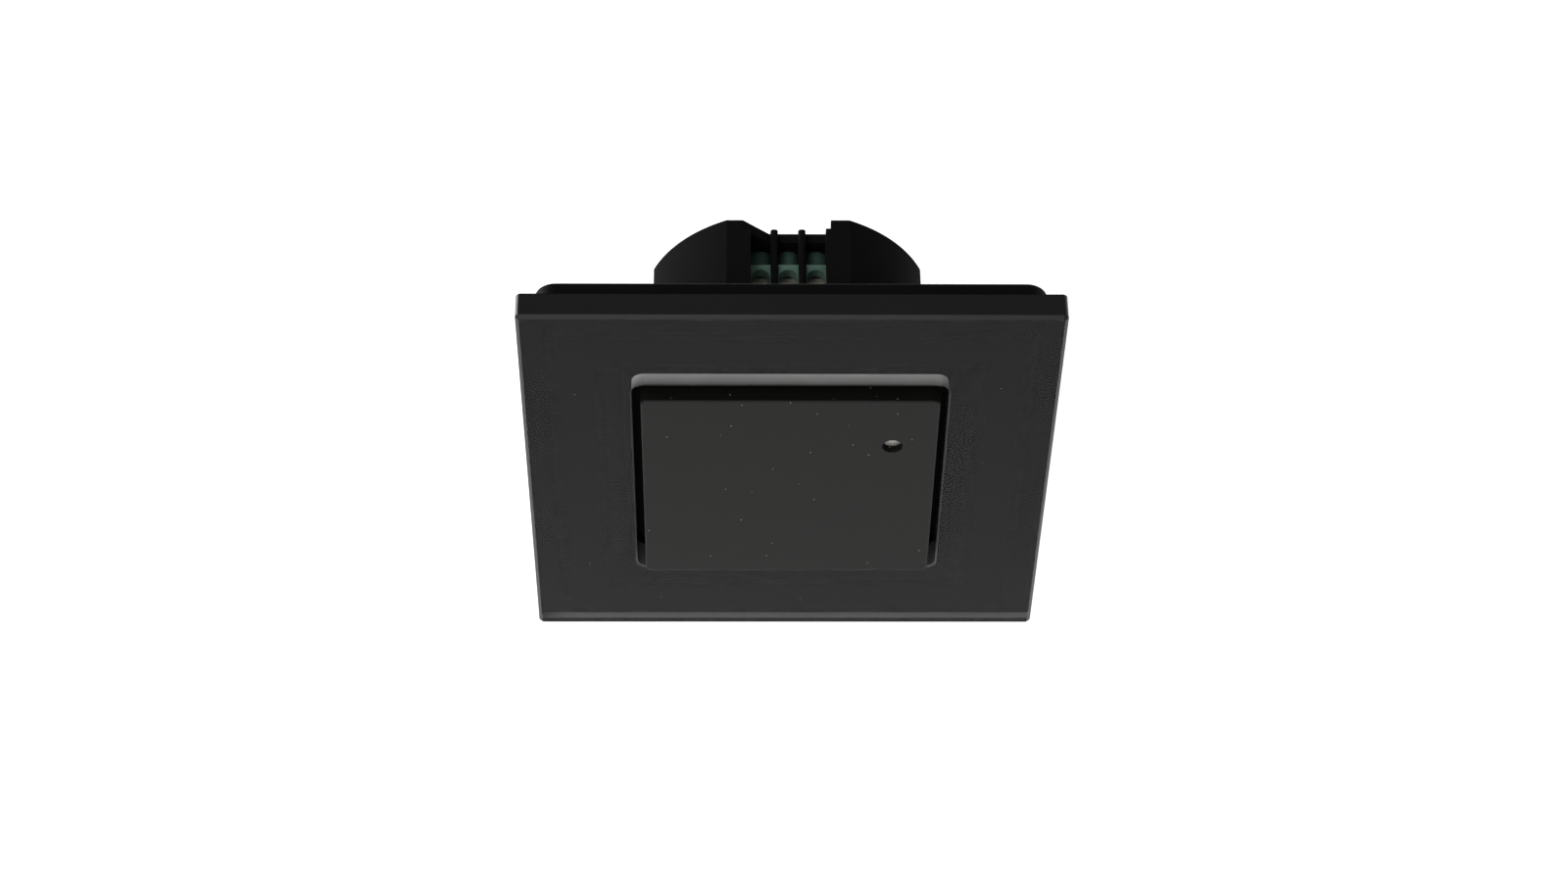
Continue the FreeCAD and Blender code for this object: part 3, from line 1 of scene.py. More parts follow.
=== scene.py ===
"""Looks of the microwave motion sensor: materials, fine pieces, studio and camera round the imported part.

The row frame is in metres: X to the right, Y into the wall, Z up, with the wall's face at Y = 0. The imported
part carries every real shape and size. This script gives each of its nodes a material and adds the small
pieces that a collision model has no use for, such as leads, solder joints and clip hooks.
"""

import logging
import math
from dataclasses import dataclass
from enum import Enum
from typing import Iterable, Optional, Sequence

import bmesh
import bpy
from mathutils import Matrix, Vector


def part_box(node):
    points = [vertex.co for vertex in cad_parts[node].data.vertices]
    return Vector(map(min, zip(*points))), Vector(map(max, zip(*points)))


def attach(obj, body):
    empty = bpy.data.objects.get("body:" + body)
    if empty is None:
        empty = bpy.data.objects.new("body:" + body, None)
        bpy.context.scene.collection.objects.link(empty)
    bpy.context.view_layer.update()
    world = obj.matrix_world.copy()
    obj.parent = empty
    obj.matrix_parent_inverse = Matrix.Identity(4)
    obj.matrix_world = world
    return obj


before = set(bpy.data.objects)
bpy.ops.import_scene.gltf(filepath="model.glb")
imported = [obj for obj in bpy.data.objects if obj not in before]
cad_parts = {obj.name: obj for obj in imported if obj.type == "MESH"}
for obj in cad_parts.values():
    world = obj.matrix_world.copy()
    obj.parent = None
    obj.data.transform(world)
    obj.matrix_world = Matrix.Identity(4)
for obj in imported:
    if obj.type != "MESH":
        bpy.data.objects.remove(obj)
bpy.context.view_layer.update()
LOG = logging.getLogger("motion_sensor")
MM = 0.001
# How deep a small piece sits in what carries it, so that no seam opens between them.
SINK_MM = 0.01
# At a scale of 1, a wave texture repeats every tau / 20 units.
WAVE = math.tau / 20
PHOTO_WIDTH_PX = 1600
BLACK = (0.0, 0.0, 0.0, 1.0)
WHITE = (1.0, 1.0, 1.0, 1.0)

Point2 = tuple[float, float]
Point3 = tuple[float, float, float]
Colour = tuple[float, float, float, float]
Tree = bpy.types.NodeTree
Node = bpy.types.Node
Socket = bpy.types.NodeSocket


def linear(code: str) -> Colour:
    """Converts an sRGB colour to the linear values that shader sockets take.

    Args:
        code: Six hex digits.

    Returns:
        Red, green, blue and alpha, each from 0 to 1.
    """
    parts = [int(code[index:index + 2], 16) / 255 for index in (0, 2, 4)]
    red, green, blue = (
        part / 12.92 if part <= 0.04045 else ((part + 0.055) / 1.055) ** 2.4 for part in parts)
    return red, green, blue, 1.0


def shaded(code: str, factor: float) -> Colour:
    """Gives a darker or paler tone of a colour.

    Args:
        code: The colour as sRGB hex.
        factor: What its linear values are multiplied by.

    Returns:
        Red, green, blue and alpha, each from 0 to 1.
    """
    red, green, blue = (min(part * factor, 1.0) for part in linear(code)[:3])
    return red, green, blue, 1.0


def box_mm(node: str) -> tuple[Vector, Vector]:
    """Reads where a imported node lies.

    Args:
        node: Name of the node.

    Returns:
        Its lowest and highest corner in the row frame, in millimetres.
    """
    low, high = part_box(node)
    return Vector(low) / MM, Vector(high) / MM


def per_metre(pattern_mm: float) -> float:
    """Turns the real size of one pattern repeat into a texture scale for object coordinates in metres.

    Args:
        pattern_mm: Size of one repeat in millimetres.

    Returns:
        Repeats per metre.
    """
    return 1 / (pattern_mm * MM)


def add(
    tree: Tree,
    kind: str,
    links: Optional[dict] = None,
    values: Optional[dict] = None,
    **settings: object,
) -> Node:
    """Adds a node to a tree, with its settings, its unlinked values and its incoming links.

    Args:
        tree: The node tree that gets the node.
        kind: The node's type, without the leading "ShaderNode".
        links: Output sockets by the name or number of the input that each one feeds.
        values: Values by the name or number of the input that each one sets.
        settings: Properties of the node itself, such as operation="MULTIPLY".

    Returns:
        The new node.
    """
    node = tree.nodes.new("ShaderNode" + kind)
    for key, value in settings.items():
        setattr(node, key, value)
    for key, value in (values or {}).items():
        node.inputs[key].default_value = value
    for key, output in (links or {}).items():
        tree.links.new(output, node.inputs[key])
    return node


def dust_mark(tree: Tree, place: Node, share: float, speck_mm: float = 0.09, cell_mm: float = 0.8) -> Socket:
    """Marks scattered specks of dust, most of them on what faces up.

    Args:
        tree: The material's node tree.
        place: Its texture coordinate node.
        share: Share of the cells on a level surface that hold a speck, from 0 to 1.
        speck_mm: Radius of a speck.
        cell_mm: Width of the cells.

    Returns:
        An output that is 1 on a speck.
    """
    cells = add(tree, "TexVoronoi", {"Vector": place.outputs["Object"]}, {"Scale": per_metre(cell_mm)})
    near = add(tree, "Math", {0: cells.outputs["Distance"]}, {1: speck_mm / cell_mm}, operation="LESS_THAN")
    facing = add(tree, "SeparateXYZ", {0: place.outputs["Normal"]})
    limit = add(tree, "MapRange", {"Value": facing.outputs["Z"]},
                {"To Min": 1 - share * 0.2, "To Max": 1 - share})
    chance = add(tree, "SeparateColor", {0: cells.outputs["Color"]})
    rare = add(tree, "Math", {0: chance.outputs[0], 1: limit.outputs[0]}, operation="GREATER_THAN")
    return add(tree, "Math", {0: near.outputs[0], 1: rare.outputs[0]}, operation="MULTIPLY").outputs[0]


class Polish(Enum):
    """Roughness that a mould's surface leaves."""

    GLOSSY = 0.18
    SATIN = 0.34
    SPARKED = 0.5
    MATTE = 0.68


@dataclass(frozen=True)
class Finish:
    """One real material with the process that gives it its surface.

    Attributes:
        name: Name of the Blender material.
    """

    name: str

    def material(self) -> bpy.types.Material:
        """Makes the material on first use, and finds it again afterwards.

        Returns:
            The Blender material of this finish.
        """
        known = bpy.data.materials.get(self.name)
        if known:
            return known
        made = bpy.data.materials.new(self.name)
        made.use_nodes = True
        tree = made.node_tree
        tree.nodes.clear()
        shader = self.surface(tree, add(tree, "TexCoord"))
        add(tree, "OutputMaterial", {"Surface": shader})
        return made

    def surface(self, tree: Tree, place: Node) -> Socket:
        """Builds the surface shader.

        Args:
            tree: The material's node tree.
            place: Its texture coordinate node.

        Returns:
            The shader output.
        """
        raise NotImplementedError


@dataclass(frozen=True)
class MouldedPlastic(Finish):
    """Injection-moulded thermoplastic with a spark-eroded mould texture.

    The fine noise is the texture that the steel mould leaves, drawn a little coarser than it is so that it
    shows. The broad one is the slight flow of gloss and shade that tells moulding from paint.

    Attributes:
        colour: Pigment, as sRGB hex.
        polish: Finish of the mould.
        specular: Specular level, where 0.5 is plain plastic and less is a dull, fine-textured one.
        grain_mm: Size of the mould texture.
        grain_depth_mm: Its depth.
        flow_mm: Size of the broad marks of flow.
        mottle: How much darker the broad pattern's low places are, from 0 to 1.
        dust: Share of tiny pale specks that settle in it, from 0 to 1.
        dust_colour: Colour of those specks.
        pocket_shade_mm: Width of the pockets that get painted shade, or 0 where it has none.
    """

    colour: str
    polish: Polish = Polish.SPARKED
    specular: float = 0.3
    grain_mm: float = 0.12
    grain_depth_mm: float = 0.006
    flow_mm: float = 14.0
    mottle: float = 0.12
    dust: float = 0.0
    dust_colour: str = "8d8a84"
    pocket_shade_mm: float = 0.0

    def surface(self, tree: Tree, place: Node) -> Socket:
        """Builds mould texture as bump, broad flow in colour and gloss, dust where there is any, and painted
        shade in its pockets.

        Args:
            tree: The material's node tree.
            place: Its texture coordinate node.

        Returns:
            The shader output.
        """
        where = place.outputs["Object"]
        broad = add(tree, "TexNoise", {"Vector": where},
                    {"Scale": per_metre(self.flow_mm), "Detail": 3.0, "Roughness": 0.55}).outputs["Fac"]
        fine = add(tree, "TexNoise", {"Vector": where}, {"Scale": per_metre(self.grain_mm), "Detail": 2.0})
        flow = add(tree, "MapRange", {"Value": broad}, {"From Min": 0.35, "From Max": 0.65})
        colour = add(tree, "Mix", {0: flow.outputs["Result"]},
                     {6: shaded(self.colour, 1 - self.mottle), 7: linear(self.colour)},
                     data_type="RGBA").outputs[2]
        if self.dust:
            colour = add(tree, "Mix", {0: dust_mark(tree, place, self.dust), 6: colour},
                         {7: linear(self.dust_colour)}, data_type="RGBA").outputs[2]
        # Painted shade: the colour darkens in narrow pockets.
        if self.pocket_shade_mm:
            colour = self.paint_pocket_shade(tree, colour)
        rough = self.polish.value
        gloss = add(tree, "MapRange", {"Value": broad},
                    {"From Min": 0.3, "From Max": 0.7, "To Min": rough * 0.92, "To Max": rough * 1.1})
        bump = add(tree, "Bump", {"Height": fine.outputs["Fac"]},
                   {"Strength": 0.6, "Distance": self.grain_depth_mm * MM})
        return add(
            tree, "BsdfPrincipled",
            {"Base Color": colour, "Roughness": gloss.outputs["Result"], "Normal": bump.outputs["Normal"]},
            {"Specular IOR Level": self.specular, "IOR": 1.5}).outputs["BSDF"]

    def paint_pocket_shade(self, tree: Tree, colour: Socket) -> Socket:
        """Paints shade into narrow pockets, darkening the colour where little light reaches.

        Args:
            tree: The material's node tree.
            colour: The plastic's colour so far.

        Returns:
            The darkened colour.
        """
        sky = add(tree, "AmbientOcclusion", values={"Distance": self.pocket_shade_mm * MM}, samples=6)
        share = add(tree, "MapRange", {"Value": sky.outputs["AO"]},
                    {"From Min": 0.15, "From Max": 0.75, "To Min": 0.12, "To Max": 1.0})
        return add(tree, "Mix", {0: share.outputs[0], 7: colour}, {6: BLACK}, data_type="RGBA").outputs[2]


@dataclass(frozen=True)
class BackCoatedGlass(Finish):
    """Clear float glass with ground edges, a low-reflection front and a fired black enamel coat on its back.

    Looking in through the front, the eye meets the black coat, drawn darker than its enamel as painted shade.
    Near an edge it meets the ground wall instead, whose paleness from inside is painted light, for the light
    that comes in from outside, and grows towards the back. It shows as a pale band.

    Attributes:
        front_mm: Place of the front face along Y.
        back_mm: Place of the back face along Y.
        outer_mm: Half the panel's width.
        opening_mm: Half the opening's width.
        band_mm: Width of the strip along an edge through which its ground wall can be seen.
        early_mm: How far before a strip's end the coat's dark begins to take over.
        late_mm: How far past its end nothing but that dark is left.
        coat_mm: How far the coat wraps round the back's edges.
        bevel_level: How squarely along Y a surface faces from which on it is a bevel and no wall.
        ground_level: How squarely it faces below which it is ground.
        front_level: How squarely it faces above which it belongs to the level front or back.
        enamel: Colour of the coat.
        coat_shade_under_pane: The coat's colour as it shows through the pane, darker than its enamel as
            painted shade.
        frost: Colour of the ground walls.
        opening_frost_and_light: Paleness of the opening's wall from inside, at its front and its back edge:
            ground grain with painted light.
        outer_frost_and_light: Paleness of the outer wall from inside, in its front and its back half: ground
            grain with painted light.
        skin: Paleness of the opening's and the outer wall from outside, painted shade that leaves them dark.
        gloss: Specular level of the ground walls and of the bevels.
        coated_index: Refractive index that gives the front's low reflection.
        glass_index: Refractive index, below float glass's, which makes the strips as wide as they look.
        dust: Share of dust cells that hold a speck, from 0 to 1.
        dust_colour: Colour of those specks.
    """

    front_mm: float
    back_mm: float
    outer_mm: float
    opening_mm: float
    band_mm: float = 3.6
    early_mm: float = 0.4
    late_mm: float = 2.4
    coat_mm: float = 0.26
    bevel_level: float = 0.4
    ground_level: float = 0.85
    front_level: float = 0.9
    enamel: str = "0b0b0a"
    coat_shade_under_pane: str = "020202"
    frost: str = "e9e9e7"
    opening_frost_and_light: Point2 = (0.05, 0.95)
    outer_frost_and_light: Point2 = (0.01, 0.27)
    skin: Point2 = (0.12, 0.016)
    gloss: Point2 = (0.4, 0.14)
    coated_index: float = 1.205
    glass_index: float = 1.36
    dust: float = 0.06
    dust_colour: str = "6f6e6a"

    def surface(self, tree: Tree, place: Node) -> Socket:
        """Builds enamel on the back, ground walls and bevels, clear edge strips and the dark front between.

        Args:
            tree: The material's node tree.
            place: Its texture coordinate node.

        Returns:
            The shader output.
        """
        where = add(tree, "SeparateXYZ", {0: place.outputs["Object"]})
        facing = add(tree, "SeparateXYZ", {0: place.outputs["Normal"]})
        level = add(tree, "Math", {0: facing.outputs["Y"]}, operation="ABSOLUTE").outputs[0]
        ground = add(tree, "Math", {0: level}, {1: self.ground_level}, operation="LESS_THAN")
        inside = add(tree, "NewGeometry").outputs["Backfacing"]
        wall = self.ground_wall(tree, place, where, inside, level)
        edge = add(tree, "MixShader", {0: ground.outputs[0], 1: self.clear_glass(tree), 2: wall})
        pane = add(tree, "MixShader",
                   {0: self.deep(tree, where, level), 1: edge.outputs[0], 2: self.dark_front(tree, place)})
        # The coat: its enamel from outside, and plain black from inside the glass, which is painted shade.
        fired = add(tree, "Mix", {0: inside}, {6: linear(self.enamel), 7: BLACK}, data_type="RGBA")
        coat = add(tree, "BsdfDiffuse", {"Color": fired.outputs[2]})
        back = add(tree, "Math", {0: where.outputs["Y"]}, {1: (self.back_mm - self.coat_mm) * MM},
                   operation="GREATER_THAN")
        return add(tree, "MixShader", {0: back.outputs[0], 1: pane.outputs[0], 2: coat.outputs[0]}).outputs[0]

    def deep(self, tree: Tree, where: Node, level: Socket) -> Socket:
        """Marks the front between the edge strips, where nothing but the coat can be seen through the glass.

        Args:
            tree: The material's node tree.
            where: The place on the panel, as separate coordinates.
            level: How squarely the surface faces along Y, from 0 to 1.

        Returns:
            An output that is 1 there and falls to 0 in the strips.
        """
        mark = add(tree, "Math", {0: level}, {1: self.front_level}, operation="GREATER_THAN").outputs[0]
        for edge_mm, inward in ((self.opening_mm, 1), (self.outer_mm, -1)):
            begin = edge_mm + inward * (self.band_mm - self.early_mm)
            end = edge_mm + inward * (self.band_mm + self.late_mm)
            side = add(tree, "MapRange", {"Value": self.reach(tree, where)},
                       {"From Min": begin * MM, "From Max": end * MM}, interpolation_type="SMOOTHSTEP")
            mark = add(tree, "Math", {0: mark, 1: side.outputs[0]}, operation="MULTIPLY").outputs[0]
        return mark

    def clear_glass(self, tree: Tree) -> Socket:
        """Builds glass that bends light in full and mirrors little, and lets lamp light through.

        Args:
            tree: The material's node tree.

        Returns:
            The shader output.
        """
        share = add(tree, "Fresnel", values={"IOR": self.coated_index})
        bend = add(tree, "BsdfRefraction", values={"Color": WHITE, "Roughness": 0.0, "IOR": self.glass_index})
        mirror = add(tree, "BsdfAnisotropic", values={"Color": WHITE, "Roughness": 0.02})
        glass = add(tree, "MixShader", {0: share.outputs[0], 1: bend.outputs[0], 2: mirror.outputs[0]})
        shadow = add(tree, "LightPath").outputs["Is Shadow Ray"]
        passing = add(tree, "BsdfTransparent", values={"Color": WHITE})
        return add(tree, "MixShader", {0: shadow, 1: glass.outputs[0], 2: passing.outputs[0]}).outputs[0]

    def ground_wall(self, tree: Tree, place: Node, where: Node, inside: Socket, level: Socket) -> Socket:
        """Builds ground glass: pale where the eye meets it through the pane, dark and dull from outside.

        What the ground grains don't scatter is mirrored into the pane and lost in the enamel, so it is black.
        The paleness from inside, which grows from front to back, is painted light, and the darkness from
        outside is painted shade.

        Args:
            tree: The material's node tree.
            place: Its texture coordinate node.
            where: The place on the panel, as separate coordinates.
            inside: An output that is 1 where the surface is met from within the glass.
            level: How squarely the surface faces along Y, from 0 to 1.

        Returns:
            The shader output.
        """
        spot = place.outputs["Object"]
        grit = add(tree, "TexNoise", {"Vector": spot}, {"Scale": per_metre(0.3), "Detail": 3.0})
        bump = add(tree, "Bump", {"Height": grit.outputs["Fac"]}, {"Strength": 0.15, "Distance": 0.02 * MM})
        streak = add(tree, "TexNoise", {"Vector": spot}, {"Scale": per_metre(5), "Detail": 2.0})
        tone = add(tree, "Mix", {0: streak.outputs["Fac"]},
                   {6: shaded(self.frost, 0.8), 7: linear(self.frost)}, data_type="RGBA").outputs[2]
        outer = add(tree, "Math", {0: self.reach(tree, where)}, {1: (self.opening_mm + self.band_mm) * MM},
                    operation="GREATER_THAN").outputs[0]
        middle = (self.front_mm + self.back_mm) / 2
        # Paleness from inside: the ground grain with painted light, growing from the front to the back.
        frost_and_light_ramps = []
        for begin, end, (front, back) in ((self.front_mm, self.back_mm, self.opening_frost_and_light),
                                          (middle - 0.3, middle + 0.3, self.outer_frost_and_light)):
            frost_and_light_ramps.append(add(tree, "MapRange", {"Value": where.outputs["Y"]},
                             {"From Min": begin * MM, "From Max": end * MM, "To Min": front, "To Max": back}))
        frost_and_light = add(tree, "Mix", {0: outer, 2: frost_and_light_ramps[0].outputs[0], 3: frost_and_light_ramps[1].outputs[0]})
        # Paleness from outside: painted shade, darker on the outer walls than on the opening's.
        skin = add(tree, "MapRange", {"Value": outer}, {"To Min": self.skin[0], "To Max": self.skin[1]})
        within, without = (
            add(tree, "Mix", {0: share.outputs[0], 7: tone}, {6: BLACK}, data_type="RGBA").outputs[2]
            for share in (frost_and_light, skin))
        scatter = add(tree, "BsdfDiffuse", {"Color": within})
        wall, bevel = (
            add(tree, "BsdfPrincipled", {"Base Color": without, "Normal": bump.outputs["Normal"]},
                {"Roughness": 0.2, "IOR": 1.5, "Specular IOR Level": gloss}).outputs[0]
            for gloss in self.gloss)
        slanting = add(tree, "Math", {0: level}, {1: self.bevel_level}, operation="GREATER_THAN")
        outside = add(tree, "MixShader", {0: slanting.outputs[0], 1: wall, 2: bevel})
        return add(tree, "MixShader", {0: inside, 1: outside.outputs[0], 2: scatter.outputs[0]}).outputs[0]

    @staticmethod
    def reach(tree: Tree, where: Node) -> Socket:
        """Measures how far a point lies from the panel's middle, as half the width of a square.

        Args:
            tree: The material's node tree.
            where: The place on the panel, as separate coordinates.

        Returns:
            An output with that distance in metres.
        """
        across = add(tree, "Math", {0: where.outputs["X"]}, operation="ABSOLUTE")
        upward = add(tree, "Math", {0: where.outputs["Z"]}, operation="ABSOLUTE")
        return add(tree, "Math", {0: across.outputs[0], 1: upward.outputs[0]}, operation="MAXIMUM").outputs[0]

    def dark_front(self, tree: Tree, place: Node) -> Socket:
        """Builds coated glass over the enamel, whose colour there is painted shade, with a few specks of
        dust.

        Args:
            tree: The material's node tree.
            place: Its texture coordinate node.

        Returns:
            The shader output.
        """
        tone = add(tree, "Mix", {0: dust_mark(tree, place, self.dust)},
                   {6: linear(self.coat_shade_under_pane), 7: linear(self.dust_colour)}, data_type="RGBA")
        mirrored = ((self.coated_index - 1) / (self.coated_index + 1)) ** 2
        return add(tree, "BsdfPrincipled", {"Base Color": tone.outputs[2]},
                   {"Roughness": 0.02, "IOR": 1.5, "Specular IOR Level": 0.5 * mirrored / 0.04}).outputs[0]


@dataclass(frozen=True)
class CastResin(Finish):
    """Clear epoxy cast round a small part, with the dark chip showing as a tint.

    Attributes:
        colour: Tint of the resin.
    """

    colour: str

    def surface(self, tree: Tree, place: Node) -> Socket:
        """Builds transparent resin with slight waves from casting.

        Args:
            tree: The material's node tree.
            place: Its texture coordinate node.

        Returns:
            The shader output.
        """
        wave = add(tree, "TexNoise", {"Vector": place.outputs["Object"]},
                   {"Scale": per_metre(0.5), "Detail": 1.0})
        bump = add(tree, "Bump", {"Height": wave.outputs["Fac"]}, {"Strength": 0.3, "Distance": 0.01 * MM})
        return add(tree, "BsdfPrincipled", {"Normal": bump.outputs["Normal"]},
                   {"Base Color": linear(self.colour), "Roughness": 0.06, "Transmission Weight": 0.85,
                    "IOR": 1.53}).outputs["BSDF"]


@dataclass(frozen=True)
class RolledZincSteel(Finish):
    """Cold-rolled steel sheet with a hot-dip zinc coat, stamped.

    The cells are the zinc's crystals, each of which mirrors a little differently, under fine rolling lines.

    Attributes:
        colour: Zinc colour.
        spangle_mm: Size of one crystal.
        line_mm: Spacing of the rolling lines.
    """

    colour: str
    spangle_mm: float = 1.5
    line_mm: float = 0.15

    def surface(self, tree: Tree, place: Node) -> Socket:
        """Builds crystals in shade and gloss, with rolling lines as bump.

        Args:
            tree: The material's node tree.
            place: Its texture coordinate node.

        Returns:
            The shader output.
        """
        where = place.outputs["Object"]
        cells = add(tree, "TexVoronoi", {"Vector": where}, {"Scale": per_metre(self.spangle_mm)})
        shade = add(tree, "SeparateColor", {0: cells.outputs["Color"]})
        tone = add(tree, "Mix", {0: shade.outputs[0]}, {6: shaded(self.colour, 0.86), 7: linear(self.colour)},
                   data_type="RGBA")
        gloss = add(tree, "MapRange", {"Value": shade.outputs[1]},
                    {"To Min": 0.34, "To Max": 0.44}).outputs[0]
        stretch = add(tree, "Mapping", {"Vector": where}, {"Scale": (1.0, 1.0, 0.03)})
        lines = add(tree, "TexNoise", {"Vector": stretch.outputs[0]},
                    {"Scale": per_metre(self.line_mm), "Detail": 2.0})
        bump = add(tree, "Bump", {"Height": lines.outputs["Fac"]}, {"Strength": 0.35, "Distance": 0.004 * MM})
        return add(
            tree, "BsdfPrincipled",
            {"Base Color": tone.outputs[2], "Roughness": gloss, "Normal": bump.outputs["Normal"]},
            {"Metallic": 1.0}).outputs["BSDF"]


@dataclass(frozen=True)
class PlatedMetal(Finish):
    """Metal with a plated coat: zinc on screws, nickel on brass, tin on cans and leads, gold on copper.

    Patches of it are duller than the rest, and handling leaves fine marks in its gloss.

    Attributes:
        colour: Colour of the plating.
        roughness: Its mean roughness.
        tarnish: How much darker the dull patches are, from 0 to 1.
        patch_mm: Size of the dull patches.
        scratch_mm: Length scale of handling marks.
    """

    colour: str
    roughness: float = 0.25
    tarnish: float = 0.2
    patch_mm: float = 2.5
    scratch_mm: float = 0.6

    def surface(self, tree: Tree, place: Node) -> Socket:
        """Builds bright metal with dull patches and fine handling marks.

        Args:
            tree: The material's node tree.
            place: Its texture coordinate node.

        Returns:
            The shader output.
        """
        where = place.outputs["Object"]
        patches = add(tree, "TexNoise", {"Vector": where}, {"Scale": per_metre(self.patch_mm), "Detail": 4.0})
        marks = add(tree, "TexNoise", {"Vector": where},
                    {"Scale": per_metre(self.scratch_mm), "Detail": 5.0, "Distortion": 1.5}).outputs["Fac"]
        tone = add(tree, "Mix", {0: patches.outputs["Fac"]},
                   {6: shaded(self.colour, 1 - self.tarnish), 7: linear(self.colour)}, data_type="RGBA")
        gloss = add(tree, "MapRange", {"Value": marks},
                    {"From Min": 0.3, "From Max": 0.7,
                     "To Min": self.roughness * 0.75, "To Max": self.roughness * 1.35}).outputs[0]
        bump = add(tree, "Bump", {"Height": marks}, {"Strength": 0.25, "Distance": 0.005 * MM})
        return add(
            tree, "BsdfPrincipled",
            {"Base Color": tone.outputs[2], "Roughness": gloss, "Normal": bump.outputs["Normal"]},
            {"Metallic": 1.0}).outputs["BSDF"]


@dataclass(frozen=True)
class MaskedLaminate(Finish):
    """Glass-epoxy laminate with copper tracks under a coloured solder mask.

    The tracks show as paler lines a little proud of the board, and the vias as small tinned rings.

    Attributes:
        mask: Colour of the mask over bare laminate.
        track: Colour of the mask over copper.
        tin: Colour of the vias' rings.
        track_mm: Spacing of the tracks.
        routed_mm: Size of the patches that have tracks.
        via_mm: Spacing of the vias.
    """

    mask: str
    track: str
    tin: str = "b9b8ae"
    track_mm: float = 1.9
    routed_mm: float = 6.0
    via_mm: float = 3.1

    def surface(self, tree: Tree, place: Node) -> Socket:
        """Builds tracks from a brick pattern that patches break up, and vias from a cell pattern.

        Args:
            tree: The material's node tree.
            place: Its texture coordinate node.

        Returns:
            The shader output.
        """
        where = add(tree, "Mapping", {"Vector": place.outputs["Object"]},
                    {"Rotation": (math.radians(90), 0.0, 0.0)}).outputs[0]
        bricks = add(tree, "TexBrick", {"Vector": where},
                     {"Color1": BLACK, "Color2": BLACK, "Mortar": WHITE, "Scale": per_metre(self.track_mm),
                      "Mortar Size": 0.07, "Mortar Smooth": 0.1, "Brick Width": 2.6, "Row Height": 0.62})
        patches = add(tree, "TexNoise", {"Vector": where},
                      {"Scale": per_metre(self.routed_mm), "Detail": 1.0})
        routed = add(tree, "Math", {0: patches.outputs["Fac"]}, {1: 0.47}, operation="GREATER_THAN")
        tracks = add(tree, "Math", {0: bricks.outputs["Color"], 1: routed.outputs[0]}, operation="MULTIPLY")
        cells = add(tree, "TexVoronoi", {"Vector": where},
                    {"Scale": per_metre(self.via_mm), "Randomness": 0.75})
        ring = add(tree, "Math", {0: cells.outputs["Distance"]}, {1: 0.1}, operation="LESS_THAN")
        base = add(tree, "Mix", {0: tracks.outputs[0]}, {6: linear(self.mask), 7: linear(self.track)},
                   data_type="RGBA").outputs[2]
        tone = add(tree, "Mix", {0: ring.outputs[0], 6: base}, {7: linear(self.tin)}, data_type="RGBA")
        height = add(tree, "Math", {0: tracks.outputs[0], 1: ring.outputs[0]}, operation="ADD")
        bump = add(tree, "Bump", {"Height": height.outputs[0]}, {"Strength": 0.7, "Distance": 0.03 * MM})
        return add(
            tree, "BsdfPrincipled",
            {"Base Color": tone.outputs[2], "Metallic": ring.outputs[0], "Normal": bump.outputs["Normal"]},
            {"Roughness": 0.28, "Specular IOR Level": 0.5}).outputs["BSDF"]


@dataclass(frozen=True)
class PatternedFinish(Finish):
    """A finish with one pattern, which shades its colour and stands in relief.

    Attributes:
        colour: Its colour, as sRGB hex.
        roughness: Roughness of its skin.
        pattern_mm: Size of one repeat of the pattern.
        detail: How many finer layers a cloudy pattern has.
        tones: What the colour is multiplied by where the pattern is 0 and where it is 1.
        relief: Strength of the relief, from 0 to 1.
        relief_mm: Depth of the relief, or 0 for a smooth skin.
        skin: Other values of the surface, each with its name.
    """

    colour: str
    roughness: float = 0.5
    pattern_mm: float = 1.0
    detail: float = 2.0
    tones: Point2 = (1.0, 1.0)
    relief: float = 0.4
    relief_mm: float = 0.0
    skin: tuple[tuple[str, float], ...] = ()

    def surface(self, tree: Tree, place: Node) -> Socket:
        """Builds the shader from the pattern.

        Args:
            tree: The material's node tree.
            place: Its texture coordinate node.

        Returns:
            The shader output.
        """
        pattern = self.pattern(tree, place.outputs["Object"])
        low, high = (shaded(self.colour, factor) for factor in self.tones)
        tone = add(tree, "Mix", {0: pattern}, {6: low, 7: high}, data_type="RGBA")
        links = {"Base Color": tone.outputs[2]}
        if self.relief_mm:
            bump = add(tree, "Bump", {"Height": pattern},
                       {"Strength": self.relief, "Distance": self.relief_mm * MM})
            links["Normal"] = bump.outputs["Normal"]
        values = {"Roughness": self.roughness, **dict(self.skin)}
        return add(tree, "BsdfPrincipled", links, values).outputs["BSDF"]

    def pattern(self, tree: Tree, where: Socket) -> Socket:
        """Builds the pattern, here a soft cloudy one.

        Args:
            tree: The material's node tree.
            where: The place on the piece.

        Returns:
            An output from 0 to 1.
        """
        return add(tree, "TexNoise", {"Vector": where},
                   {"Scale": per_metre(self.pattern_mm), "Detail": self.detail}).outputs["Fac"]


@dataclass(frozen=True)
class MilkyAcrylic(PatternedFinish):
    """Cast acrylic with a little white in it, which swirls faintly under a polished skin."""

    roughness: float = 0.12
    pattern_mm: float = 0.8
    tones: Point2 = (0.82, 1.0)
    skin: tuple[tuple[str, float], ...] = (
        ("Transmission Weight", 0.3), ("IOR", 1.49), ("Coat Weight", 0.3), ("Coat Roughness", 0.05))


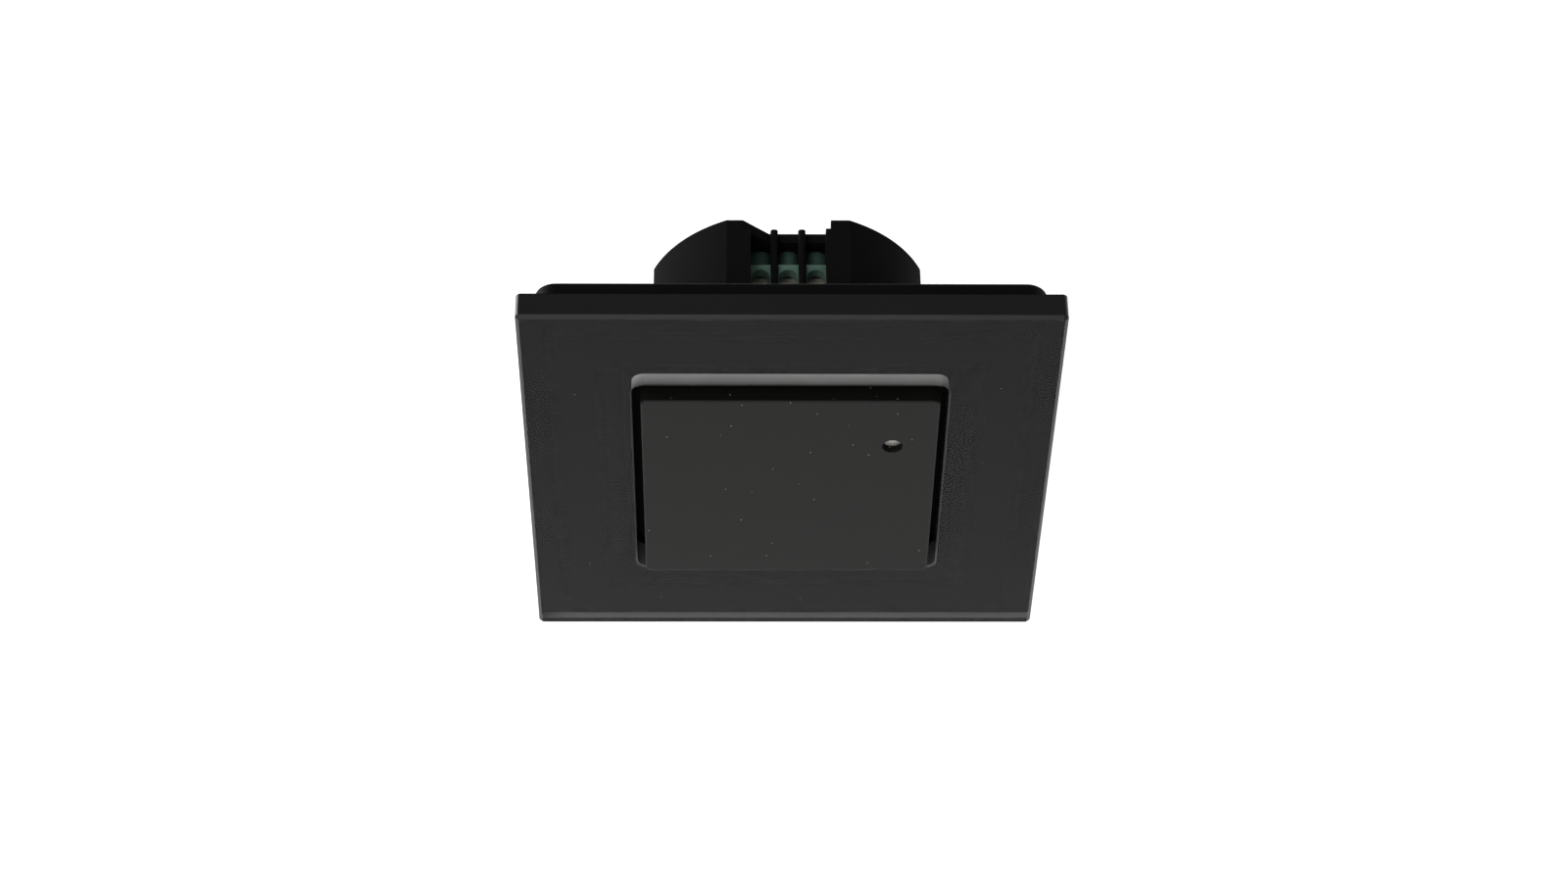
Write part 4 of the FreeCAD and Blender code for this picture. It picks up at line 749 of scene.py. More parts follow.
@dataclass(frozen=True)
class WovenLaminate(PatternedFinish):
    """Bare microwave laminate, whose glass weave shows through a pale resin."""

    roughness: float = 0.45
    pattern_mm: float = 0.5
    tones: Point2 = (0.78, 1.0)
    relief: float = 0.3
    relief_mm: float = 0.01

    def pattern(self, tree: Tree, where: Socket) -> Socket:
        """Crosses two wave patterns, one for each direction of the glass bundles.

        Args:
            tree: The material's node tree.
            where: The place on the piece.

        Returns:
            An output from 0 to 1.
        """
        scale = per_metre(self.pattern_mm) * WAVE
        warp, weft = (
            add(tree, "TexWave", {"Vector": where}, {"Scale": scale, "Distortion": 0.4},
                bands_direction=direction).outputs["Fac"]
            for direction in ("X", "Z"))
        return add(tree, "Math", {0: warp, 1: weft}, operation="MULTIPLY").outputs[0]


@dataclass(frozen=True)
class SinteredFerrite(PatternedFinish):
    """Pressed and sintered ferrite: dark, dry, and full of tiny pits, which are darkened inside with painted
    shade.
    """

    roughness: float = 0.6
    pattern_mm: float = 0.3
    # Half as bright in the middle of each pit: painted shade.
    tones: Point2 = (0.5, 1.0)
    relief: float = 0.5
    relief_mm: float = 0.02
    skin: tuple[tuple[str, float], ...] = (("Specular IOR Level", 0.4),)

    def pattern(self, tree: Tree, where: Socket) -> Socket:
        """Puts a pit in the middle of each cell.

        Args:
            tree: The material's node tree.
            where: The place on the piece.

        Returns:
            An output from 0, in a pit, to 1.
        """
        return add(tree, "TexVoronoi", {"Vector": where},
                   {"Scale": per_metre(self.pattern_mm)}).outputs["Distance"]


@dataclass(frozen=True)
class WoundTape(PatternedFinish):
    """Polyester tape wound in overlapping turns, whose edges show as fine steps."""

    roughness: float = 0.22
    pattern_mm: float = 1.4
    tones: Point2 = (0.7, 1.0)
    relief_mm: float = 0.05
    skin: tuple[tuple[str, float], ...] = (("Coat Weight", 0.3), ("Coat Roughness", 0.1))

    def pattern(self, tree: Tree, where: Socket) -> Socket:
        """Runs a saw wave along Y, with a step at the edge of each turn.

        Args:
            tree: The material's node tree.
            where: The place on the piece.

        Returns:
            An output from 0 to 1.
        """
        scale = per_metre(self.pattern_mm) * WAVE
        return add(tree, "TexWave", {"Vector": where}, {"Scale": scale, "Distortion": 0.6},
                   bands_direction="Y", wave_profile="SAW").outputs["Fac"]


@dataclass(frozen=True)
class DippedCoat(PatternedFinish):
    """Epoxy coat that a part was dipped in, uneven, and paler where it is thin."""

    roughness: float = 0.3
    pattern_mm: float = 1.1
    detail: float = 3.0
    tones: Point2 = (1.0, 1.25)
    relief_mm: float = 0.06


@dataclass(frozen=True)
class ClosedCellFoam(PatternedFinish):
    """Acrylic foam tape with closed cells that show along its cut edge."""

    roughness: float = 0.9
    pattern_mm: float = 0.12
    tones: Point2 = (1.0, 0.55)
    relief: float = 0.6
    relief_mm: float = 0.03
    skin: tuple[tuple[str, float], ...] = (("Specular IOR Level", 0.1),)

    def pattern(self, tree: Tree, where: Socket) -> Socket:
        """Builds the cells.

        Args:
            tree: The material's node tree.
            where: The place on the piece.

        Returns:
            An output from 0, in the middle of a cell, to 1.
        """
        return add(tree, "TexVoronoi", {"Vector": where}, {"Scale": per_metre(self.pattern_mm)},
                   feature="SMOOTH_F1").outputs["Distance"]


PANE_LOW, PANE_HIGH = box_mm("glass_panel")
GLASS = BackCoatedGlass("low_reflection_enamelled_glass", PANE_LOW.y, PANE_HIGH.y, PANE_HIGH.x, 23.6)
TAPE = ClosedCellFoam("black_acrylic_foam", "141414")
CARRIER = MouldedPlastic("satin_moulded_polycarbonate", "0c0c0c", Polish.SPARKED, 0.05)
COVER = MouldedPlastic("spark_textured_polycarbonate", "11110f", Polish.SATIN, 0.11, grain_mm=0.18, dust=0.2)
HOUSING = MouldedPlastic("moulded_drum_polycarbonate", "121212", Polish.MATTE, 0.02)
LENS = MilkyAcrylic("milky_light_guide", "b2b0a8")
PLATE = RolledZincSteel("rolled_zinc_steel", "a9adb0")
SCREW = PlatedMetal("zinc_plated_screw_steel", "b4b8bd", 0.24)
TINNED = PlatedMetal("tinned_metal", "c6c5bf", 0.3, tarnish=0.3)
SOLDER = PlatedMetal("reflowed_solder", "bdbcb8", 0.2, tarnish=0.15)
COPPER = PlatedMetal("gold_flashed_copper", "d9a65e", 0.28)
BRASS = PlatedMetal("nickelled_brass", "8d8278", 0.3, tarnish=0.35)
GREEN_BOARD = MaskedLaminate("green_masked_laminate", "0d4a2a", "1f7444")
RADIO_BOARD = WovenLaminate("woven_microwave_laminate", "c9c2a4")
CHIP = MouldedPlastic("transfer_moulded_epoxy", "1d1d1f", Polish.MATTE, 0.3, grain_mm=0.08)
CERAMIC = MouldedPlastic("fired_chip_ceramic", "6e5f4c", Polish.SATIN, 0.4, grain_mm=0.06)
RESIN = CastResin("clear_cast_resin", "e4e8e6")
CONNECTOR = MouldedPlastic("black_connector_polyester", "17171a", Polish.SATIN, 0.4)
TRIMMER = MouldedPlastic("blue_trimmer_polyester", "1c4f9c", Polish.SATIN, 0.5)
ROTOR = MouldedPlastic("white_rotor_polyester", "e4e2da", Polish.SATIN, 0.5)
RELAY = MouldedPlastic("blue_relay_polyester", "1f5fa8", Polish.GLOSSY, 0.5)
FILM_BOX = MouldedPlastic("yellow_film_case", "c9a31c", Polish.SATIN, 0.5)
VARISTOR = DippedCoat("blue_dipped_epoxy", "22509a")
RESISTOR = DippedCoat("flameproof_resistor_coat", "8fa39a", 0.6)
SLEEVE = MouldedPlastic("shrunk_can_sleeve", "20242e", Polish.GLOSSY, 0.5)
FERRITE = SinteredFerrite("sintered_ferrite", "2f2f31")
WINDING = WoundTape("yellow_winding_tape", "d8b23a")
# The terminal block's pockets get painted shade.
TERMINAL = MouldedPlastic("green_terminal_polyamide", "5c7c6e", Polish.SATIN, 0.2, mottle=0.08, pocket_shade_mm=3.0)

NODE_FINISHES: dict[str, Finish] = {
    "glass_panel": GLASS,
    "panel_adhesive": TAPE,
    "panel_carrier": CARRIER,
    "cover_plate": COVER,
    "sensor_lens": LENS,
    "mounting_plate": PLATE,
    "rear_housing": HOUSING,
    "sensor_chassis": HOUSING,
    "housing_screws": SCREW,
    "sensor_board": GREEN_BOARD,
    "radar_board": RADIO_BOARD,
    "radar_shield": TINNED,
    "radar_header": CONNECTOR,
    "radar_antenna": COPPER,
    "microcontroller": CHIP,
    "sensor_chips": CERAMIC,
    "light_sensor": RESIN,
    "indicator_led": RESIN,
    "trimmer_bodies": TRIMMER,
    "link_socket": CONNECTOR,
    "link_header": CONNECTOR,
    "power_board": GREEN_BOARD,
    "board_screws": SCREW,
    "relay": RELAY,
    "film_capacitor": FILM_BOX,
    "varistor": VARISTOR,
    "fuse_resistor": RESISTOR,
    "bulk_capacitor": SLEEVE,
    "output_capacitor": SLEEVE,
    "bridge_rectifier": CHIP,
    "transformer_core": FERRITE,
    "transformer_winding": WINDING,
    "transformer_bobbin": CONNECTOR,
    "terminal_block": TERMINAL,
    "contact_bars": BRASS,
}
for number in (1, 2, 3):
    NODE_FINISHES[f"trimmer_rotor_{number}"] = ROTOR
    NODE_FINISHES[f"terminal_clamp_{number}"] = BRASS
    NODE_FINISHES[f"terminal_screw_{number}"] = SCREW


class Workpiece:
    """A mesh under construction, with its points in millimetres in the row frame."""

    def __init__(self, name: str) -> None:
        """Starts an empty mesh.

        Args:
            name: Name of the piece that it becomes.
        """
        self.name = name
        self.mesh = bmesh.new()

    def prism(self, outline: Sequence[Point3], sweep: Point3) -> None:
        """Adds a closed outline swept along a straight line.

        Args:
            outline: Corners of the outline, in order.
            sweep: Vector from one end to the other.
        """
        near = [self.mesh.verts.new(Vector(corner)) for corner in outline]
        far = [self.mesh.verts.new(Vector(corner) + Vector(sweep)) for corner in outline]
        self.mesh.faces.new(near[::-1])
        self.mesh.faces.new(far)
        for index, _ in enumerate(outline):
            following = (index + 1) % len(outline)
            self.mesh.faces.new((near[index], near[following], far[following], far[index]))

    def lathe(self, profile: Sequence[Point2], centre: Point3, steps: int = 20) -> None:
        """Adds a profile turned about an axis along Y.

        Args:
            profile: Radius and depth along Y of each ring, where a radius of 0 closes the end.
            centre: Point on the axis that the depths count from.
            steps: Sides of the turned piece.
        """
        rings: list[list[bmesh.types.BMVert]] = []
        x, y, z = centre
        for radius, depth in profile:
            if radius == 0:
                rings.append([self.mesh.verts.new((x, y + depth, z))])
                continue
            angles = [2 * math.pi * step / steps for step in range(steps)]
            rings.append([self.mesh.verts.new((x + radius * math.cos(a), y + depth, z + radius * math.sin(a)))
                          for a in angles])
        for first, second in zip(rings, rings[1:]):
            self.bridge(first, second)

    def bridge(self, first: list[bmesh.types.BMVert], second: list[bmesh.types.BMVert]) -> None:
        """Joins two rings of points with faces.

        Args:
            first: One ring, or a single point.
            second: The next ring, or a single point.
        """
        count = max(len(first), len(second))
        for index in range(count):
            following = (index + 1) % count
            corners = []
            for ring, order in ((first, (index, following)), (second, (following, index))):
                corners += [ring[0]] if len(ring) == 1 else [ring[place] for place in order]
            self.mesh.faces.new(corners)

    def place(self, finish: Finish, body: str, slot: str, bevel_mm: float = 0.0,
              smooth: bool = False) -> bpy.types.Object:
        """Turns the mesh into a piece of the scene.

        Args:
            finish: What the piece is made of.
            body: The body that it moves with.
            slot: Name of a material slot, which is not used.
            bevel_mm: Width of the bevel on its edges.
            smooth: Whether its faces shade smoothly.

        Returns:
            The new object.
        """
        bmesh.ops.recalc_face_normals(self.mesh, faces=self.mesh.faces)
        bmesh.ops.scale(self.mesh, vec=(MM, MM, MM), verts=self.mesh.verts)
        for face in self.mesh.faces:
            face.smooth = smooth
        data = bpy.data.meshes.new(self.name)
        self.mesh.to_mesh(data)
        self.mesh.free()
        data.materials.append(finish.material())
        made = bpy.data.objects.new(self.name, data)
        bpy.context.scene.collection.objects.link(made)
        if bevel_mm:
            edge = made.modifiers.new("Edges", "BEVEL")
            edge.width = bevel_mm * MM
            edge.segments = 2
            edge.limit_method = "ANGLE"
        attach(made, body)
        LOG.info("piece %s: %d faces on %s", self.name, len(data.polygons), body)
        return made


@dataclass(frozen=True)
class PanelClips:
    """Hooks on the ends of the panel's four prongs, which snap behind the mounting plate.

    Attributes:
        inset_mm: Distance from the carrier's side to a prong's middle.
        spread_mm: Distance between the prongs of one side.
        thickness_mm: Thickness of a prong.
        width_mm: Width of a prong.
        end_mm: Distance from a prong's edge to its hook.
        tip_mm: Place of a prong's end along Y.
        reach_mm: How far a hook stands out.
        length_mm: Length of a hook along Y.
        crest: Where a hook's highest part begins and ends, as shares of its length.
    """

    inset_mm: float = 4.6
    spread_mm: float = 28.0
    thickness_mm: float = 1.2
    width_mm: float = 5.0
    end_mm: float = 0.4
    tip_mm: float = -0.2
    reach_mm: float = 0.3
    length_mm: float = 0.9
    crest: Point2 = (0.55, 0.75)

    def build(self) -> None:
        """Adds the hooks as one piece."""
        work = Workpiece("prong_hooks")
        _, high = box_mm("panel_carrier")
        for side in (-1, 1):
            face = side * (high.x - self.inset_mm + self.thickness_mm / 2)
            crest = face + side * self.reach_mm
            for up in (-1, 1):
                low = up * self.spread_mm / 2 - self.width_mm / 2 + self.end_mm
                outline = [(x, self.tip_mm - self.length_mm * share, low)
                           for x, share in zip((face, crest, crest, face), (0.0, *self.crest, 1.0))]
                work.prism(outline, (0, 0, self.width_mm - 2 * self.end_mm))
        work.place(CARRIER, "panel", "black_polycarbonate", bevel_mm=0.05)


@dataclass(frozen=True)
class PlateBeads:
    """Stiffening beads pressed into the mounting plate, which stand proud on its front.

    Attributes:
        side_mm: Place of a bead's middle along X.
        edge_mm: Distance of a bead from the plate's edge.
        length_mm: Length of a bead.
        width_mm: Width of a bead.
        height_mm: How far it stands proud.
        profile: Rings of a bead, each a share of its half width and of its height.
    """

    side_mm: float = 17.0
    edge_mm: float = 2.2
    length_mm: float = 15.0
    width_mm: float = 1.6
    height_mm: float = 0.2
    profile: tuple[Point2, ...] = ((1.0, 0.0), (0.82, 0.6), (0.5, 0.92), (0.12, 1.0))

    def build(self) -> None:
        """Adds the four beads as one piece, each a low rounded ridge with round ends."""
        work = Workpiece("plate_beads")
        low, high = box_mm("mounting_plate")
        reach = self.length_mm / 2 - self.width_mm / 2
        for side in (-1, 1):
            for up in (-1, 1):
                rings = []
                for share, lift in self.profile:
                    radius = self.width_mm / 2 * share
                    depth = low.y + SINK_MM - self.height_mm * lift
                    rings.append([
                        work.mesh.verts.new((
                            side * self.side_mm + end * reach + radius * math.cos(angle),
                            depth,
                            up * (high.z - self.edge_mm) + radius * math.sin(angle)))
                        for end, angle in self.outline_angles()])
                for first, second in zip(rings, rings[1:]):
                    work.bridge(first, second)
                work.mesh.faces.new(rings[-1])
        work.place(PLATE, "base", "zinc_steel", smooth=True)

    @staticmethod
    def outline_angles(steps: int = 8) -> Iterable[tuple[int, float]]:
        """Walks round a slot shape.

        Args:
            steps: Parts of each round end.

        Yields:
            Which end the point belongs to, 1 or -1, and its angle about that end.
        """
        for end, start in ((1, -math.pi / 2), (-1, math.pi / 2)):
            for step in range(steps + 1):
                yield end, start + math.pi * step / steps


@dataclass(frozen=True)
class GapShadeLip:
    """Foam lip that stands on the mounting plate between the sensor's flange and the panel's rim.

    It is a dark piece put in as painted shade, so that the gap beside the cover shows black.

    Attributes:
        clearance_mm: Distance from the flange to the lip.
        width_mm: Width of the lip.
        height_mm: How far it stands off the plate.
        outer_corner_mm: Radius of its outer corners.
        inner_corner_mm: Radius of its inner corners.
    """

    clearance_mm: float = 0.06
    width_mm: float = 0.56
    height_mm: float = 0.8
    outer_corner_mm: float = 1.6
    inner_corner_mm: float = 1.0

    def build(self) -> None:
        """Adds the lip as one closed ring."""
        work = Workpiece("gap_shade_lip")
        inner = box_mm("rear_housing")[1].x + self.clearance_mm
        seat = box_mm("mounting_plate")[0].y + SINK_MM
        top = seat - self.height_mm
        outer = inner + self.width_mm
        rings = [
            [work.mesh.verts.new((x, depth, z)) for x, z in self.square(half, corner)]
            for half, corner, depth in (
                (outer, self.outer_corner_mm, seat), (outer, self.outer_corner_mm, top),
                (inner, self.inner_corner_mm, top), (inner, self.inner_corner_mm, seat))]
        for first, second in zip(rings, rings[1:] + rings[:1]):
            work.bridge(first, second)
        work.place(TAPE, "base", "foam_tape")

    @staticmethod
    def square(half: float, radius: float, steps: int = 5) -> Iterable[Point2]:
        """Walks round a square with rounded corners.

        Args:
            half: Half the square's width.
            radius: Radius of its corners.
            steps: Parts of each corner.

        Yields:
            The points in order.
        """
        for quarter, (right, up) in enumerate(((1, 1), (-1, 1), (-1, -1), (1, -1))):
            for step in range(steps + 1):
                angle = (quarter + step / steps) * math.pi / 2
                yield (right * (half - radius) + radius * math.cos(angle),
                       up * (half - radius) + radius * math.sin(angle))


@dataclass(frozen=True)
class SensorJoints:
    """Solder fillets at both ends of the light sensor and of the indicator lamp.

    Attributes:
        reach_mm: How far a fillet runs out over the board.
        height_mm: How far it climbs the part's end.
        width_mm: Width of a fillet.
        spread_mm: Distance between the two fillets at one end of the light sensor.
        waist: Where the fillet's hollow side passes, as shares of its reach and its height.
    """

    reach_mm: float = 0.45
    height_mm: float = 0.35
    width_mm: float = 0.6
    spread_mm: float = 1.5
    waist: Point2 = (0.3, 0.35)

    def build(self) -> None:
        """Adds every fillet as a concave wedge."""
        work = Workpiece("sensor_joints")
        pair = (-self.spread_mm / 2, self.spread_mm / 2)
        for name, lifts in (("light_sensor", pair), ("indicator_led", (0.0,))):
            low, high = box_mm(name)
            foot = high.y + SINK_MM
            for side, wall in ((-1, low.x), (1, high.x)):
                for lift in lifts:
                    start = (low.z + high.z) / 2 + lift - self.width_mm / 2
                    outline = [(wall + side * self.reach_mm * out, foot - self.height_mm * up, start)
                               for out, up in ((0.0, 0.0), (0.0, 1.0), self.waist, (1.0, 0.0))]
                    work.prism(outline, (0, 0, self.width_mm))
        work.place(SOLDER, "base", "tinned_can", bevel_mm=0.02)


@dataclass(frozen=True)
class FlatPackLeads:
    """Gull-wing leads round the controller chip.

    Attributes:
        count: Leads on each side.
        pitch_mm: Spacing of the leads.
        width_mm: Width of a lead.
        rise_mm: Height above the board at which a lead leaves the body.
        reach_mm: How far a lead stands out.
        sheet_mm: Thickness of the lead frame.
        root_mm: How deep a lead starts inside the body.
        shoulder_mm: Distance from the body to the upper bend.
        knee_mm: Distance from the body to the lower bend.
        bend_mm: How much nearer the bends lie on a lead's underside.
    """

    count: int = 8
    pitch_mm: float = 0.65
    width_mm: float = 0.28
    rise_mm: float = 0.45
    reach_mm: float = 1.0
    sheet_mm: float = 0.14
    root_mm: float = 0.05
    shoulder_mm: float = 0.3
    knee_mm: float = 0.5
    bend_mm: float = 0.08

    def build(self) -> None:
        """Adds the leads of all four sides as one piece."""
        work = Workpiece("controller_leads")
        low, high = box_mm("microcontroller")
        half = (high.x - low.x) / 2
        foot = high.y + SINK_MM
        neck = foot - self.rise_mm
        sheet = self.sheet_mm
        upper = [(-self.root_mm, neck), (self.shoulder_mm, neck), (self.knee_mm, foot - sheet),
                 (self.reach_mm, foot - sheet)]
        under = [(self.reach_mm, foot), (self.knee_mm - self.bend_mm, foot),
                 (self.shoulder_mm - self.bend_mm, neck + sheet), (-self.root_mm, neck + sheet)]
        shift = Vector(((low.x + high.x) / 2, 0, (low.z + high.z) / 2))
        for quarter in range(4):
            turn = Matrix.Rotation(quarter * math.pi / 2, 3, "Y")
            for index in range(self.count):
                along = (index - (self.count - 1) / 2) * self.pitch_mm - self.width_mm / 2
                outline = [turn @ Vector((half + out, depth, along)) + shift for out, depth in upper + under]
                sweep = turn @ Vector((0, 0, self.width_mm))
                work.prism([tuple(corner) for corner in outline], tuple(sweep))
        work.place(TINNED, "base", "tinned_can")


@dataclass(frozen=True)
class ChipCaps:
    """Tinned end caps of the small resistors and capacitors, with their solder fillets.

    Attributes:
        columns: Chips in a row.
        length_mm: Length of a chip.
        width_mm: Width of a chip.
        cap_mm: Length of a cap.
        skin_mm: Thickness of its plating.
        crown: How far the fillet stands out near the chip's top, and how far below it.
        waist: How far the fillet stands out at its waist, and how far above the board.
        foot_mm: How far the fillet runs out over the board.
    """

    columns: int = 4
    length_mm: float = 1.6
    width_mm: float = 0.9
    cap_mm: float = 0.32
    skin_mm: float = 0.03
    crown: Point2 = (0.06, 0.08)
    waist: Point2 = (0.14, 0.16)
    foot_mm: float = 0.34

    def build(self) -> None:
        """Adds every cap as a wedge that wraps the chip's end and runs down to the board."""
        work = Workpiece("chip_caps")
        box_low, box_high = box_mm("sensor_chips")
        foot = box_high.y + SINK_MM
        top = box_low.y - self.skin_mm
        shape = [(-self.cap_mm, foot), (-self.cap_mm, top), (0.0, top), (self.crown[0], top + self.crown[1]),
                 (self.waist[0], foot - self.waist[1]), (self.foot_mm, foot)]
        first = box_low.x + self.length_mm / 2
        pitch = (box_high.x - box_low.x - self.length_mm) / (self.columns - 1)
        for column in range(self.columns):
            for row in (box_low.z + self.width_mm / 2, box_high.z - self.width_mm / 2):
                for side in (-1, 1):
                    end = first + pitch * column + side * self.length_mm / 2
                    low = row - self.width_mm / 2 - self.skin_mm
                    work.prism([(end + side * out, depth, low) for out, depth in shape],
                               (0, 0, self.width_mm + self.skin_mm * 2))
        work.place(SOLDER, "base", "tinned_can", bevel_mm=0.02)


@dataclass(frozen=True)
class LinkJoints:
    """Fillets round the ends of the link's pins on the front of the sensor board.

    Attributes:
        count: Pins in the link.
        pitch_mm: Spacing of the pins.
        radius_mm: Radius of a fillet at the board.
        height_mm: How far a pin's end stands proud.
        profile: Rings of a joint, each a share of its radius and of its height.
    """

    count: int = 5
    pitch_mm: float = 2.54
    radius_mm: float = 0.85
    height_mm: float = 0.9
    profile: tuple[Point2, ...] = (
        (1.0, 0.0), (0.7, 0.12), (0.5, 0.34), (0.4, 0.66), (0.34, 0.9), (0.2, 1.0), (0.0, 1.0))

    def build(self) -> None:
        """Adds the joints as concave cones with a blunt pin end."""
        work = Workpiece("link_joints")
        face = box_mm("sensor_board")[0].y
        low, high = box_mm("link_socket")
        rings = [(self.radius_mm * share, -self.height_mm * lift) for share, lift in self.profile]
        for index in range(self.count):
            x = (low.x + high.x) / 2 + (index - (self.count - 1) / 2) * self.pitch_mm
            work.lathe(rings, (x, face - SINK_MM, (low.z + high.z) / 2))
        work.place(SOLDER, "base", "tinned_can", smooth=True)


@dataclass(frozen=True)
class TrimmerTabs:
    """Bent tabs that solder the trimmers to the board.

    Attributes:
        count: Trimmers one above the other.
        width_mm: Width of a tab.
        reach_mm: How far a tab lies on the board.
        rise_mm: How far it climbs the trimmer's wall.
        spread_mm: Distance between the two tabs on the right.
        sheet_mm: Thickness of a tab.
        bend_mm: Size of its inner bend.
    """

    count: int = 3
    width_mm: float = 0.9
    reach_mm: float = 0.7
    rise_mm: float = 0.9
    spread_mm: float = 2.4
    sheet_mm: float = 0.18
    bend_mm: float = 0.1

    def build(self) -> None:
        """Adds an L-shaped tab on the left of each trimmer and two on its right."""
        work = Workpiece("trimmer_tabs")
        box_low, box_high = box_mm("trimmer_bodies")
        foot = box_high.y + SINK_MM
        sheet, bend = self.sheet_mm, self.bend_mm
        shape = [(0.0, foot), (0.0, foot - self.rise_mm), (sheet, foot - self.rise_mm),
                 (sheet + bend * 0.5, foot - sheet - bend), (sheet + bend * 1.5, foot - sheet),
                 (self.reach_mm, foot - sheet), (self.reach_mm, foot)]
        half = (box_high.x - box_low.x) / 2
        middle = (box_high.x + box_low.x) / 2
        pitch = (box_high.z - box_low.z - half * 2) / (self.count - 1)
        for index in range(self.count):
            height = box_low.z + half + pitch * index
            for side, lifts in ((-1, (0.0,)), (1, (-self.spread_mm / 2, self.spread_mm / 2))):
                wall = middle + side * (half + SINK_MM)
                for lift in lifts:
                    low = height + lift - self.width_mm / 2
                    outline = [(wall + side * out, depth, low) for out, depth in shape]
                    work.prism(outline, (0, 0, self.width_mm))
        work.place(TINNED, "base", "tinned_can", bevel_mm=0.03)


@dataclass(frozen=True)
class Studio:
    """Plain pale floor, soft lamps and the camera at the photograph's viewing angle.

    Attributes:
        focal_px: Focal length in pixels of the 1600 pixel wide photograph.
        azimuth_deg: Camera's direction round Z.
        elevation_deg: Camera's height above the level.
        roll_deg: Camera's turn about its own axis.
        distance_mm: Distance from the aim to the camera.
        aim_mm: Point that the camera looks at.
        floor_mm: Height of the floor.
        floor_half_m: Half the floor's width.
        floor_colour: Colour of the floor.
        floor_glow: What is added to the floor's light where it is seen, so that it shows white.
        ceiling: What the studio's ceiling shows in mirrors.
        ambient: The low even light from all round.
        lamps: Name, direction from the object, width in metres and power in watts of each softbox.
    """

    focal_px: float = 3428.6
    azimuth_deg: float = -1.514
    elevation_deg: float = 53.508
    roll_deg: float = 1.281
    distance_mm: float = 507.87
    aim_mm: Point3 = (-0.803, -8.5, 10.126)
    floor_mm: float = -110.0
    floor_half_m: float = 6.0
    floor_colour: str = "f4f4f4"
    floor_glow: float = 0.55
    ceiling: Colour = (0.06, 0.06, 0.065, 1.0)
    ambient: Colour = (0.22, 0.22, 0.225, 1.0)
    lamps: tuple[tuple[str, Point3, float, float], ...] = (
        ("key", (-0.35, -1.0, 0.7), 0.9, 7.0),
        ("left_fill", (-1.0, 0.45, 0.2), 0.6, 6.0),
        ("top_left", (-0.6, -0.15, 0.8), 0.8, 3.0))

    def build(self) -> None:
        """Adds floor, world, lamps and camera."""
        self.add_floor()
        self.add_world()
        for lamp in self.lamps:
            self.add_lamp(*lamp)
        self.add_camera()

    def add_floor(self) -> None:
        """Adds a wide matte floor that shows white, and still takes the object's soft shadow."""
        half = self.floor_half_m
        corners = [(x * half, y * half, self.floor_mm * MM) for x, y in ((-1, -1), (1, -1), (1, 1), (-1, 1))]
        data = bpy.data.meshes.new("studio_floor")
        data.from_pydata(corners, [], [(0, 1, 2, 3)])
        floor = bpy.data.objects.new("studio_floor", data)
        bpy.context.scene.collection.objects.link(floor)
        made = bpy.data.materials.new("pale_studio_floor")
        made.use_nodes = True
        tree = made.node_tree
        tree.nodes.clear()
        paint = add(tree, "BsdfPrincipled", values={"Base Color": linear(self.floor_colour), "Roughness": 0.9,
                                                    "Specular IOR Level": 0.1})
        glow = add(tree, "Emission", values={"Color": WHITE, "Strength": self.floor_glow})
        none = add(tree, "Emission", values={"Strength": 0.0})
        lift = add(tree, "MixShader", {0: self.seen_directly(tree), 1: none.outputs[0], 2: glow.outputs[0]})
        total = add(tree, "AddShader", {0: paint.outputs["BSDF"], 1: lift.outputs[0]})
        add(tree, "OutputMaterial", {"Surface": total.outputs[0]})
        data.materials.append(made)

    @staticmethod
    def seen_directly(tree: Tree) -> Socket:
        """Tells rays that show a surface, by sight, by mirror or through glass, from those that light others.

        Args:
            tree: The node tree to work in.

        Returns:
            An output that is 1 for the rays that show the surface.
        """
        path = add(tree, "LightPath")
        seen = path.outputs["Is Camera Ray"]
        for ray in ("Is Glossy Ray", "Is Transmission Ray"):
            seen = add(tree, "Math", {0: seen, 1: path.outputs[ray]}, operation="MAXIMUM").outputs[0]
        return seen

    def add_world(self) -> None:
        """Gives a white horizon that greys towards the studio's ceiling, and a low even light."""
        world = bpy.data.worlds.new("studio")
        bpy.context.scene.world = world
        world.use_nodes = True
        tree = world.node_tree
        tree.nodes.clear()
        place = add(tree, "TexCoord")
        height = add(tree, "SeparateXYZ", {0: place.outputs["Generated"]})
        rise = add(tree, "MapRange", {"Value": height.outputs["Z"]}, {"From Min": 0.15, "From Max": 0.65},
                   interpolation_type="SMOOTHSTEP")
        sky = add(tree, "Mix", {0: rise.outputs["Result"]}, {6: WHITE, 7: self.ceiling}, data_type="RGBA")
        tone = add(tree, "Mix", {0: self.seen_directly(tree), 7: sky.outputs[2]}, {6: self.ambient},
                   data_type="RGBA")
        back = add(tree, "Background", {"Color": tone.outputs[2]})
        add(tree, "OutputWorld", {"Surface": back.outputs[0]})

    def add_lamp(self, name: str, direction: Point3, width_m: float, power_w: float) -> None:
        """Adds a square softbox one metre from the object.

        Args:
            name: Name of the lamp.
            direction: Direction from the object to the lamp.
            width_m: Width of the softbox.
            power_w: Its power in watts.
        """
        data = bpy.data.lights.new(name, "AREA")
        data.shape = "SQUARE"
        data.size = width_m
        data.energy = power_w
        lamp = bpy.data.objects.new(name, data)
        towards = Vector(direction).normalized()
        lamp.location = towards
        lamp.rotation_euler = towards.to_track_quat("Z", "Y").to_euler()
        bpy.context.scene.collection.objects.link(lamp)
        LOG.info("lamp %s: %.1f W", name, power_w)

